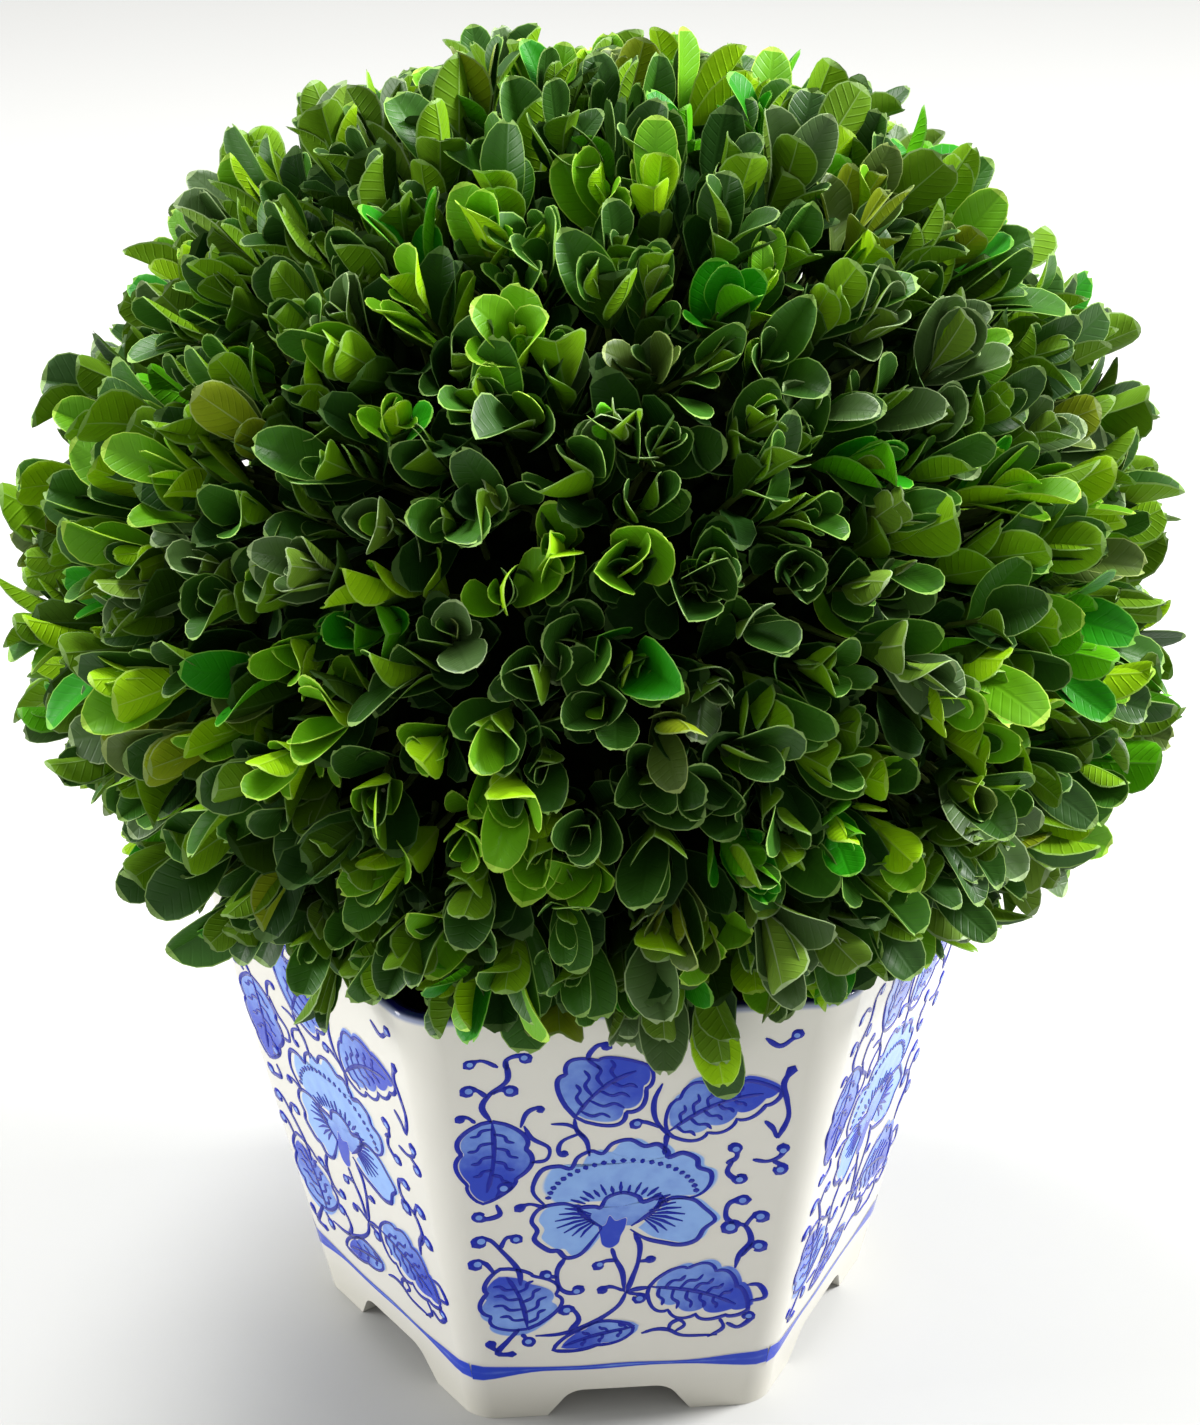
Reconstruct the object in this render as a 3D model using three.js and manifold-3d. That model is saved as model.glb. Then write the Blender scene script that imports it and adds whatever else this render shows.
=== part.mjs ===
// A clipped box ball growing in a six-sided glazed porcelain pot.
// Millimetres, +Z up. The origin is on the ground, under the middle of the pot.
import * as THREE from "three";
import { mergeVertices } from "three/addons/utils/BufferGeometryUtils.js";
import Module from "manifold-3d";

const wasm = await Module();
wasm.setup();

// Driving dimensions of the pot.
const SIDES = 6;
const POT_HEIGHT = 138.5;
const RIM_APOTHEM = 90; // half the width across the flats, at the rim
const GROUND_APOTHEM = 63.1; // the same at ground level, where the feet stand
const WALL = 5;
const LIP_RADIUS = WALL / 2;
const FLOOR_THICKNESS = 6;
const FOOT_HEIGHT = 9;
const RIM_CORNER_RADIUS = 13;
const GROUND_CORNER_RADIUS = 7;
const FOOT_SHARE = 0.25; // how far a foot's underside reaches along each side of the pot
const ARCH_SHARE = 0.33; // how far its top reaches, where the arch between two feet starts
const FOOT_DEPTH = 18; // from the corner in towards the axis

// Driving dimensions of what grows in it.
const COMPOST_TOP = 125;
const STEM_TOP = 188;
const STEM_LEAN = 4; // sideways, over the stem's whole height
const STEM_FLARE_RADIUS = 11;
const STEM_RADIUS = 6.5;
const STEM_TIP_RADIUS = 5;
const BALL_CENTRE = 199;
const BALL_TIP_RADIUS = 141; // to the furthest leaf tips
const BALL_TUFTS = 150;
const TUFT_DEPTH = 17; // from the tips down to the hollows between tufts
const TUFT_SPREAD = 0.15; // radians from a tuft's middle to where it has sunk by 60%
const BALL_DETAIL = 14;
const DRAPE_TOP = 150; // below this height the leaves spread out and hang over the rim
const DRAPE_DEPTH = 31; // how far below that height the lowest of them reach
const FOOT_NARROWING = 0.1; // share of its radius that the ball loses towards its foot

// Clearance between solids that meet.
const GAP = 0.3;
const CORNER_TURNS = [-30, -20, -10, 0, 10, 20, 30]; // degrees, the points round one corner
const ROUND = 20; // segments round the stem

const potApothem = (z) =>
  GROUND_APOTHEM + ((RIM_APOTHEM - GROUND_APOTHEM) * z) / POT_HEIGHT;
const cornerRadius = (z) =>
  GROUND_CORNER_RADIUS +
  ((RIM_CORNER_RADIUS - GROUND_CORNER_RADIUS) * z) / POT_HEIGHT;

// The direction of corner number i, anticlockwise from the front face, which faces -Y.
const cornerAngle = (i) => ((i + 0.5) * 2 * Math.PI) / SIDES - Math.PI / 2;

// A point on the rounded corner number i of a hexagon, turned by some degrees from the corner's middle.
function cornerPoint(apothem, radius, i, degrees) {
  const middle = (apothem - radius) / Math.cos(Math.PI / SIDES);
  const turn = cornerAngle(i) + THREE.MathUtils.degToRad(degrees);
  return new THREE.Vector2(
    middle * Math.cos(cornerAngle(i)) + radius * Math.cos(turn),
    middle * Math.sin(cornerAngle(i)) + radius * Math.sin(turn),
  );
}

// A closed shell of six-sided rings, whose ends close on the axis.
// Each ring is [apothem, corner radius, height].
function hexagonSolid(rings) {
  const profile = [
    new THREE.Vector2(0, rings[0][2]),
    ...rings.map(([apothem, , z]) => new THREE.Vector2(apothem, z)),
    new THREE.Vector2(0, rings.at(-1)[2]),
  ];
  const around = SIDES * CORNER_TURNS.length;
  const geometry = new THREE.LatheGeometry(profile, around);
  geometry.rotateX(Math.PI / 2);
  const place = geometry.getAttribute("position");
  for (let i = 0; i < place.count; i++) {
    const ring = rings[(i % profile.length) - 1];
    if (!ring) continue;
    const step = Math.floor(i / profile.length) % around;
    const point = cornerPoint(
      ring[0],
      ring[1],
      Math.floor(step / CORNER_TURNS.length),
      CORNER_TURNS[step % CORNER_TURNS.length],
    );
    place.setXY(i, point.x, point.y);
  }
  return closed(geometry);
}

// Only positions are left, with shared vertices merged, so that the surface is closed.
function closed(geometry) {
  geometry.deleteAttribute("normal");
  geometry.deleteAttribute("uv");
  return mergeVertices(geometry, 1e-3);
}

function toManifold(geometry) {
  return new wasm.Manifold(
    new wasm.Mesh({
      numProp: 3,
      vertProperties: geometry.getAttribute("position").array,
      triVerts: new Uint32Array(geometry.index.array),
    }),
  );
}

function fromManifold(solid) {
  const mesh = solid.getMesh();
  return new THREE.BufferGeometry()
    .setAttribute("position", new THREE.BufferAttribute(mesh.vertProperties, 3))
    .setIndex(new THREE.BufferAttribute(mesh.triVerts, 1));
}

// The pot's wall, lip and floor, grown by margin on every side.
function potShell(margin) {
  const outer = (z) => [potApothem(z) + margin, cornerRadius(z) + margin, z];
  const inner = (z) => [
    potApothem(z) - WALL - margin,
    Math.max(cornerRadius(z) - WALL - margin, 1),
    z,
  ];
  const lipCentre = potApothem(POT_HEIGHT) - LIP_RADIUS;
  const lipZ = POT_HEIGHT - LIP_RADIUS;
  const lip = [0, 45, 90, 135, 180].map((degrees) => {
    const turn = THREE.MathUtils.degToRad(degrees);
    const out = (LIP_RADIUS + margin) * Math.cos(turn);
    return [
      lipCentre + out,
      RIM_CORNER_RADIUS - LIP_RADIUS + out,
      lipZ + (LIP_RADIUS + margin) * Math.sin(turn),
    ];
  });
  return hexagonSolid([
    outer(FOOT_HEIGHT),
    outer(POT_HEIGHT / 2),
    ...lip,
    inner(POT_HEIGHT / 2),
    inner(FOOT_HEIGHT + FLOOR_THICKNESS),
  ]);
}

// One foot under corner number i: a kite, wider at its top, where the arches on either side start.
function footGeometry(i) {
  const kite = (z, share) => {
    const across = potApothem(z) / Math.cos(Math.PI / SIDES);
    const towards = (n) =>
      new THREE.Vector2(Math.cos(cornerAngle(n)), Math.sin(cornerAngle(n)));
    const alongSide = (neighbour) =>
      towards(i).lerp(towards(neighbour), share).multiplyScalar(across);
    const arc = CORNER_TURNS.map((degrees) =>
      cornerPoint(potApothem(z), cornerRadius(z), i, degrees),
    );
    const back = towards(i).multiplyScalar(across * (1 - share / 4) - FOOT_DEPTH);
    return [alongSide(i - 1), ...arc, alongSide(i + 1), back].map((p) => [p.x, p.y, z]);
  };
  return loft(kite(0, FOOT_SHARE), kite(FOOT_HEIGHT, ARCH_SHARE));
}

// A closed solid between two convex outlines with the same number of points, anticlockwise seen from above.
function loft(lower, upper) {
  const n = lower.length;
  const triangles = [];
  for (let i = 0; i < n; i++) {
    const j = (i + 1) % n;
    triangles.push(i, j, n + j, i, n + j, n + i);
    if (i > 0 && i < n - 1) {
      triangles.push(0, i + 1, i);
      triangles.push(n, n + i, n + i + 1);
    }
  }
  const geometry = new THREE.BufferGeometry();
  geometry.setAttribute(
    "position",
    new THREE.Float32BufferAttribute([...lower, ...upper].flat(), 3),
  );
  geometry.setIndex(triangles);
  return geometry;
}

// Bark compost, filling the pot up to a flat top, and standing clear of the wall by gap.
function compostGeometry(top, gap) {
  const ring = (z) => [
    potApothem(z) - WALL - gap,
    Math.max(cornerRadius(z) - WALL - gap, 1),
    z,
  ];
  return hexagonSolid([
    ring(FOOT_HEIGHT + FLOOR_THICKNESS + gap),
    ring(POT_HEIGHT / 2),
    ring(top),
  ]);
}

// The short stem, flared at its foot and leaning a little, grown by margin all round.
function stemGeometry(margin) {
  const height = STEM_TOP - COMPOST_TOP;
  const radiusAt = (t) =>
    THREE.MathUtils.lerp(STEM_RADIUS, STEM_TIP_RADIUS, t) +
    (STEM_FLARE_RADIUS - STEM_RADIUS) * Math.exp(-t * 9) +
    margin;
  const steps = [0, 0.05, 0.12, 0.2, 0.35, 0.6, 0.85, 1];
  const profile = [
    new THREE.Vector2(0, -margin),
    ...steps.map(
      (t) => new THREE.Vector2(radiusAt(t), -margin + t * (height + 2 * margin)),
    ),
    new THREE.Vector2(0, height + margin),
  ];
  const geometry = new THREE.LatheGeometry(profile, ROUND);
  geometry.rotateX(Math.PI / 2);
  const place = geometry.getAttribute("position");
  for (let i = 0; i < place.count; i++) {
    const z = place.getZ(i);
    place.setXYZ(i, place.getX(i) + (STEM_LEAN * z) / height, place.getY(i), z + COMPOST_TOP);
  }
  return closed(geometry);
}

// A repeatable stream of numbers from 0 to 1.
function seeded(seed) {
  let state = seed;
  return () => {
    state = (state * 1664525 + 1013904223) % 4294967296;
    return state / 4294967296;
  };
}

// Directions of the leafy tufts, spread evenly over the ball and then shifted a little.
// Each tuft has its own length.
function tufts() {
  const random = seeded(7);
  return Array.from({ length: BALL_TUFTS }, (_, i) => {
    const z = 1 - (2 * (i + 0.5)) / BALL_TUFTS;
    const turn = i * Math.PI * (3 - Math.sqrt(5)) + 0.2 * (random() - 0.5);
    const flat = Math.sqrt(1 - z * z);
    return {
      towards: new THREE.Vector3(flat * Math.cos(turn), flat * Math.sin(turn), z),
      length: 0.45 + 0.55 * random(),
    };
  });
}

// The height, above the ball's middle, of a point at height z once the ball's foot is spread over the rim.
function drape(z, rise) {
  const start = DRAPE_TOP - BALL_CENTRE;
  if (z > start) return z;
  const depth = DRAPE_DEPTH * (0.6 + 0.4 * rise);
  return start - depth * (1 - Math.exp((z - start) / depth));
}

// The clipped crown: one ball of tufts, hanging just over the rim, and cut round the pot, compost and stem.
function foliageGeometry() {
  const geometry = closed(new THREE.IcosahedronGeometry(1, BALL_DETAIL));
  const place = geometry.getAttribute("position");
  const all = tufts();
  const towards = new THREE.Vector3();
  for (let i = 0; i < place.count; i++) {
    towards.fromBufferAttribute(place, i).normalize();
    const rise = Math.max(
      ...all.map(({ towards: middle, length }) => {
        const apart = towards.angleTo(middle) / TUFT_SPREAD;
        return length * Math.exp(-apart * apart);
      }),
    );
    const foot = THREE.MathUtils.smoothstep(-towards.z, 0.1, 0.6);
    towards.multiplyScalar(
      (BALL_TIP_RADIUS - TUFT_DEPTH * (1 - rise)) * (1 - FOOT_NARROWING * foot),
    );
    place.setXYZ(i, towards.x, towards.y, drape(towards.z, rise));
  }
  // The tips reach the same distance from the axis on every side, and the full height at the top.
  geometry.computeBoundingBox();
  const { min, max } = geometry.boundingBox;
  const fit = (value, low, high) =>
    (2 * BALL_TIP_RADIUS * (value - low)) / (high - low) - BALL_TIP_RADIUS;
  for (let i = 0; i < place.count; i++) {
    place.setXYZ(
      i,
      fit(place.getX(i), min.x, max.x),
      fit(place.getY(i), min.y, max.y),
      (place.getZ(i) * BALL_TIP_RADIUS) / max.z + BALL_CENTRE,
    );
  }
  const cut = toManifold(geometry)
    .subtract(toManifold(compostGeometry(COMPOST_TOP + GAP, 0)))
    .subtract(toManifold(potShell(GAP)))
    .subtract(toManifold(stemGeometry(GAP)));
  // What the cuts part from the ball is dropped.
  const largest = cut.decompose().sort((a, b) => b.volume() - a.volume())[0];
  return fromManifold(largest);
}

const finish = (colour, roughness) =>
  new THREE.MeshStandardMaterial({ color: colour, roughness, metalness: 0 });
const porcelain = finish(0xe9e7e0, 0.18);
const compostBrown = finish(0x2e2218, 0.95);
const bark = finish(0x7a6a50, 0.85);
const boxGreen = finish(0x2f5a1c, 0.6);

const plant = new THREE.Group();
function add(name, geometry, material) {
  const mesh = new THREE.Mesh(geometry, material);
  mesh.name = name;
  plant.add(mesh);
}

add("pot_body", potShell(0), porcelain);
for (let i = 0; i < SIDES; i++) add("pot_foot_" + (i + 1), footGeometry(i), porcelain);
add("compost", compostGeometry(COMPOST_TOP, GAP), compostBrown);
add("stem", stemGeometry(0), bark);
add("foliage_ball", foliageGeometry(), boxGreen);

export default plant;
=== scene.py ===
"""A clipped ball of box growing in a six-sided porcelain pot, painted in cobalt blue under its glaze.

Lengths are in metres, except the painted design, which is drawn in millimetres on the face of the pot.
The pot stands on the ground with its axis on +Z and its front face towards -Y.
"""

import logging
import math
from collections.abc import Callable
from dataclasses import dataclass, field
from enum import Enum

import bmesh
import bpy
import numpy as np
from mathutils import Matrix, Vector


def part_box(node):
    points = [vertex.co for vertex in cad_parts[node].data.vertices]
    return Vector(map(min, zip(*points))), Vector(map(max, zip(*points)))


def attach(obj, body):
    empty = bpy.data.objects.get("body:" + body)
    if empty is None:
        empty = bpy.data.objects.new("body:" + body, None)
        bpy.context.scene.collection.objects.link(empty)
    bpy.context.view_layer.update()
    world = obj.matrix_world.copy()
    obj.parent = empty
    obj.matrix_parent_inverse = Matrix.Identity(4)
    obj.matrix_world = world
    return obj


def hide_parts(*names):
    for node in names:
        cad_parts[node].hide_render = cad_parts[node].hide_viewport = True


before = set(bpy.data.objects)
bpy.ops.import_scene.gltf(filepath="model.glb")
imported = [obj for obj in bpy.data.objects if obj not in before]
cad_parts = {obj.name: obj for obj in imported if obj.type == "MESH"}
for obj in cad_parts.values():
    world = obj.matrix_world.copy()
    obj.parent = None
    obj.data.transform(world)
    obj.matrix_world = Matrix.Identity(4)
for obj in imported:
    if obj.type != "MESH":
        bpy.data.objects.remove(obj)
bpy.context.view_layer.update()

MM = 0.001
SIDES = 6
HALF_SIDE = math.pi / SIDES
SEED = 20
BODY = "root"
log = logging.getLogger("topiary")

Rows = np.ndarray | list | tuple
Value = bpy.types.NodeSocket | float | tuple[float, ...]


# ---------------------------------------------------------------------------------------------- helpers


def linear(code: str) -> tuple[float, float, float, float]:
    """Turns a screen colour into the linear colour that a shader takes.

    Args:
        code: six hexadecimal digits after a hash.

    Returns:
        Red, green, blue and an alpha of one.
    """
    channels = [int(code[i : i + 2], 16) / 255 for i in (1, 3, 5)]
    curve = [c / 12.92 if c <= 0.04045 else ((c + 0.055) / 1.055) ** 2.4 for c in channels]
    return (*curve, 1.0)


def deselect() -> None:
    """Leaves nothing selected, so that the next operator acts only on what it makes."""
    bpy.ops.object.select_all(action="DESELECT")


def activate(thing: bpy.types.Object) -> None:
    """Makes one object the only one selected, and the active one."""
    deselect()
    thing.select_set(True)
    bpy.context.view_layer.objects.active = thing


def apply_place(thing: bpy.types.Object) -> None:
    """Moves an object's place into its mesh, so that the object itself sits at the origin."""
    activate(thing)
    bpy.ops.object.transform_apply(location=True, rotation=True, scale=True)


def pick(thing: bpy.types.Object, kind: str, test: Callable[..., bool]) -> None:
    """Selects elements of the mesh in edit mode.

    Args:
        thing: the object being edited.
        kind: VERT, EDGE or FACE.
        test: a function of one bmesh element that says whether it is selected.
    """
    bpy.ops.mesh.select_mode(type=kind)
    bpy.ops.mesh.select_all(action="DESELECT")
    shape = bmesh.from_edit_mesh(thing.data)
    elements = {"VERT": shape.verts, "EDGE": shape.edges, "FACE": shape.faces}[kind]
    for element in elements:
        element.select_set(bool(test(element)))
    shape.select_flush_mode()
    bmesh.update_edit_mesh(thing.data)


def apply_modifier(thing: bpy.types.Object, kind: str, **settings) -> None:
    """Adds a modifier to an object and applies it.

    Args:
        thing: the object.
        kind: the modifier's type.
        settings: its settings by name.
    """
    activate(thing)
    modifier = thing.modifiers.new(kind.title(), kind)
    for name, value in settings.items():
        setattr(modifier, name, value)
    bpy.ops.object.modifier_apply(modifier=modifier.name)


def clouds(name: str, size: float, depth: int = 3) -> bpy.types.Texture:
    """Makes a cloud pattern for displacing a surface.

    Args:
        name: the pattern's name.
        size: the width of its largest lumps.
        depth: how many finer patterns are added.

    Returns:
        The texture.
    """
    texture = bpy.data.textures.new(name, "CLOUDS")
    texture.noise_scale = size
    texture.noise_depth = depth
    return texture


def finish_piece(piece: bpy.types.Object, slot: str, *nodes: str) -> None:
    """Puts a finished piece on the plant's body, hides the solids that it replaces, and logs its face count.

    Args:
        piece: the finished object.
        slot: the record's material slot; not used.
        nodes: the solids that it replaces.
    """
    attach(piece, BODY)
    if nodes:
        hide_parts(*nodes)
    log.info("%s: %d faces", piece.name, len(piece.data.polygons))


def unit(vectors: np.ndarray) -> np.ndarray:
    """Scales vectors, in the last axis, to a length of one."""
    return vectors / np.maximum(np.linalg.norm(vectors, axis=-1, keepdims=True), 1e-9)


def smooth_step(low: float, high: float, value: np.ndarray) -> np.ndarray:
    """Rises smoothly from 0 at low to 1 at high."""
    t = np.clip((value - low) / (high - low), 0, 1)
    return t * t * (3 - 2 * t)


def through(points: np.ndarray, steps: int = 6) -> np.ndarray:
    """Draws a smooth curve through points.

    Args:
        points: the points, one in each row.
        steps: how many stretches the curve has between two points.

    Returns:
        The points of the curve.
    """
    padded = np.vstack([2 * points[0] - points[1], points, 2 * points[-1] - points[-2]])
    t = np.linspace(0, 1, steps, endpoint=False)[:, None]
    curve = []
    for a, b, c, d in zip(padded, padded[1:], padded[2:], padded[3:]):
        curve.append(
            0.5 * (2 * b + (c - a) * t + (2 * a - 5 * b + 4 * c - d) * t**2 + (3 * b - a - 3 * c + d) * t**3)
        )
    return np.vstack([*curve, points[-1:]])


@dataclass
class Patchwork:
    """Collects the arrays of many small shapes, and joins them into one mesh."""

    points: list[np.ndarray] = field(default_factory=list)
    corners: list[np.ndarray] = field(default_factory=list)
    sizes: list[np.ndarray] = field(default_factory=list)
    slots: list[np.ndarray] = field(default_factory=list)
    values: list[np.ndarray] = field(default_factory=list)
    count: int = 0

    def add(self, points: Rows, faces: Rows, slots: Rows | None = None, values: Rows | None = None) -> None:
        """Adds one shape.

        Args:
            points: its vertices, one in each row.
            faces: its faces, as lists of vertex numbers.
            slots: the material slot of each face, or None for the first.
            values: a row of values for each vertex, such as a place in a pattern.
        """
        corners = np.concatenate([np.asarray(face) for face in faces])
        sizes = np.array([len(face) for face in faces])
        self.add_arrays(points, corners, sizes, slots, values)

    def add_arrays(
        self,
        points: Rows,
        corners: np.ndarray,
        sizes: np.ndarray,
        slots: Rows | None = None,
        values: Rows | None = None,
    ) -> None:
        """Adds shapes whose faces follow one another in one run of vertex numbers.

        Args:
            points: their vertices, one in each row.
            corners: the run of vertex numbers.
            sizes: how many vertices each face takes from the run.
            slots: the material slot of each face, or None for the first.
            values: a row of values for each vertex.
        """
        self.points.append(np.asarray(points, float))
        self.corners.append(corners + self.count)
        self.sizes.append(sizes)
        self.slots.append(np.zeros(len(sizes), int) if slots is None else np.asarray(slots))
        if values is not None:
            self.values.append(np.asarray(values, float))
        self.count += len(points)

    def join(self, name: str, materials: list, sharp: float | None = None) -> bpy.types.Object:
        """Makes the joined mesh.

        Args:
            name: the piece's name.
            materials: its material slots, in order.
            sharp: the angle past which an edge is sharp, or None where all are smooth.

        Returns:
            The object, at the origin.
        """
        points = np.concatenate(self.points)
        corners = np.concatenate(self.corners)
        sizes = np.concatenate(self.sizes)
        mesh = bpy.data.meshes.new(name)
        mesh.vertices.add(len(points))
        mesh.vertices.foreach_set("co", points.astype(np.float32).ravel())
        mesh.loops.add(len(corners))
        mesh.loops.foreach_set("vertex_index", corners.astype(np.int32))
        mesh.polygons.add(len(sizes))
        starts = np.concatenate([[0], np.cumsum(sizes)[:-1]])
        mesh.polygons.foreach_set("loop_start", starts.astype(np.int32))
        mesh.polygons.foreach_set("material_index", np.concatenate(self.slots).astype(np.int32))
        mesh.polygons.foreach_set("use_smooth", np.ones(len(sizes), bool))
        if self.values:
            values = np.concatenate(self.values)
            layer = mesh.uv_layers.new(name="UVMap")
            layer.data.foreach_set("uv", values[corners, :2].astype(np.float32).ravel())
        mesh.update(calc_edges=True)
        mesh.validate()
        for material in materials:
            mesh.materials.append(material)
        piece = bpy.data.objects.new(name, mesh)
        bpy.context.scene.collection.objects.link(piece)
        if sharp is not None:
            activate(piece)
            bpy.ops.object.shade_smooth_by_angle(angle=sharp)
        return piece


# -------------------------------------------------------------------------------------------- finishes


class Nodes:
    """Places and links the nodes of one tree by short calls."""

    def __init__(self, tree: bpy.types.NodeTree) -> None:
        """Starts on a tree."""
        self.tree = tree

    def put(self, kind: str, **settings) -> bpy.types.Node:
        """Adds a node, with settings of its own."""
        node = self.tree.nodes.new(kind)
        for name, value in settings.items():
            setattr(node, name, value)
        return node

    def feed(self, socket: bpy.types.NodeSocket, value: Value) -> None:
        """Links an output to a socket, or sets the socket to a plain value."""
        if isinstance(value, bpy.types.NodeSocket):
            self.tree.links.new(value, socket)
        else:
            socket.default_value = value

    def math(self, operation: str, *values: Value) -> bpy.types.NodeSocket:
        """Does a sum on sockets or numbers, and returns its result."""
        node = self.put("ShaderNodeMath", operation=operation)
        for socket, value in zip(node.inputs, values):
            self.feed(socket, value)
        return node.outputs[0]

    def ramp(self, value: Value, low: Value, high: Value) -> bpy.types.NodeSocket:
        """Maps a value to 0 at low and 1 at high, smoothly."""
        node = self.put("ShaderNodeMapRange", interpolation_type="SMOOTHSTEP")
        for name, given in (("Value", value), ("From Min", low), ("From Max", high)):
            self.feed(node.inputs[name], given)
        return node.outputs["Result"]

    def mix(self, share: Value, first: Value, second: Value) -> bpy.types.NodeSocket:
        """Mixes two colours, with a share of the second."""
        node = self.put("ShaderNodeMix", data_type="RGBA")
        for index, given in ((0, share), (6, first), (7, second)):
            self.feed(node.inputs[index], given)
        return node.outputs[2]

    def noise(self, vector: Value, scale: float, detail: float = 3.0) -> bpy.types.NodeSocket:
        """A soft random value from 0 to 1."""
        node = self.put("ShaderNodeTexNoise")
        self.feed(node.inputs["Vector"], vector)
        node.inputs["Scale"].default_value = scale
        node.inputs["Detail"].default_value = detail
        return node.outputs["Fac"]

    def bump(self, height: Value, strength: float, distance: float) -> bpy.types.NodeSocket:
        """Turns a height into a normal."""
        node = self.put("ShaderNodeBump")
        node.inputs["Strength"].default_value = strength
        node.inputs["Distance"].default_value = distance
        self.feed(node.inputs["Height"], height)
        return node.outputs["Normal"]

    def place(self) -> bpy.types.NodeSocket:
        """The place on the object."""
        return self.put("ShaderNodeTexCoord").outputs["Object"]


def group(name: str, inputs: dict[str, float], outputs: dict[str, str]) -> tuple:
    """Starts a shader node group.

    Args:
        name: the group's name.
        inputs: each input's name and its usual value.
        outputs: each output's name and kind of socket.

    Returns:
        The group, its nodes, the socket of each input and the socket of each output.
    """
    tree = bpy.data.node_groups.new(name, "ShaderNodeTree")
    for label, usual in inputs.items():
        socket = tree.interface.new_socket(label, in_out="INPUT", socket_type="NodeSocketFloat")
        socket.default_value = usual
    for label, kind in outputs.items():
        tree.interface.new_socket(label, in_out="OUTPUT", socket_type=kind)
    nodes = Nodes(tree)
    entry = nodes.put("NodeGroupInput")
    leave = nodes.put("NodeGroupOutput")
    return tree, nodes, entry.outputs, leave.inputs


def vein_group() -> bpy.types.NodeTree:
    """The veins of a leaf: a midrib with side veins slanting from it, and a faint mottle between them.

    Returns:
        A group with a Height and a Mottle output, which reads the leaf's own map.
    """
    tree, nodes, entry, leave = group(
        "leaf_veins",
        {"Pairs": 11.0, "Slant": 4.0},
        {"Height": "NodeSocketFloat", "Mottle": "NodeSocketFloat"},
    )
    split = nodes.put("ShaderNodeSeparateXYZ")
    nodes.feed(split.inputs[0], nodes.put("ShaderNodeUVMap", uv_map="UVMap").outputs[0])
    across = nodes.math("ABSOLUTE", nodes.math("SUBTRACT", split.outputs["X"], 0.5))
    along = nodes.math("MULTIPLY", split.outputs["Y"], entry["Pairs"])
    lean = nodes.math("MULTIPLY", across, entry["Slant"])
    phase = nodes.math("FRACT", nodes.math("SUBTRACT", along, lean))
    ridge = nodes.math("ABSOLUTE", nodes.math("SUBTRACT", phase, 0.5))
    side_vein = nodes.ramp(ridge, 0.16, 0.0)
    midrib = nodes.ramp(across, 0.07, 0.0)
    height = nodes.math("MAXIMUM", nodes.math("MULTIPLY", side_vein, 0.55), midrib)
    nodes.feed(leave["Height"], height)
    nodes.feed(leave["Mottle"], nodes.noise(nodes.place(), 420.0))
    return tree


def glaze_group() -> bpy.types.NodeTree:
    """The faint unevenness of a dipped glaze.

    Returns:
        A group with a Ripple height, and a Pool mask that rises where the glaze runs thick.
    """
    tree, nodes, entry, leave = group(
        "glaze_flow",
        {"Scale": 26.0},
        {"Ripple": "NodeSocketFloat", "Pool": "NodeSocketFloat"},
    )
    place = nodes.place()
    ripple = nodes.put("ShaderNodeTexNoise")
    nodes.feed(ripple.inputs["Vector"], place)
    nodes.feed(ripple.inputs["Scale"], entry["Scale"])
    ripple.inputs["Detail"].default_value = 1.5
    nodes.feed(leave["Ripple"], ripple.outputs["Fac"])
    nodes.feed(leave["Pool"], nodes.ramp(nodes.noise(place, 11.0, 2.0), 0.35, 0.75))
    return tree


@dataclass(frozen=True)
class Shell:
    """A material built round one Principled shader."""

    name: str
    colour: str
    roughness: float
    specular: float = 0.5

    def start(self) -> tuple[bpy.types.Material, Nodes, bpy.types.Node]:
        """Makes the material with its plain values.

        Returns:
            The material, its nodes and its Principled shader.
        """
        material = bpy.data.materials.new(self.name)
        material.use_nodes = True
        nodes = Nodes(material.node_tree)
        shader = next(n for n in material.node_tree.nodes if n.type == "BSDF_PRINCIPLED")
        shader.inputs["Base Color"].default_value = linear(self.colour)
        shader.inputs["Roughness"].default_value = self.roughness
        shader.inputs["Specular IOR Level"].default_value = self.specular
        return material, nodes, shader


@dataclass(frozen=True)
class LeafSkin(Shell):
    """One side of a leaf, with its veins in relief."""

    relief: float = 0.3
    raised: bool = False

    def make(self, veins: bpy.types.NodeTree) -> bpy.types.Material:
        """Builds the material round the shared veins."""
        material, nodes, shader = self.start()
        pattern = nodes.put("ShaderNodeGroup", node_tree=veins)
        sign = 1.0 if self.raised else -1.0
        mottle = nodes.math("MULTIPLY", pattern.outputs["Mottle"], 0.5)
        height = nodes.math("MULTIPLY_ADD", pattern.outputs["Height"], sign, mottle)
        nodes.feed(shader.inputs["Normal"], nodes.bump(height, self.relief, 0.25 * MM))
        return material


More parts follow.
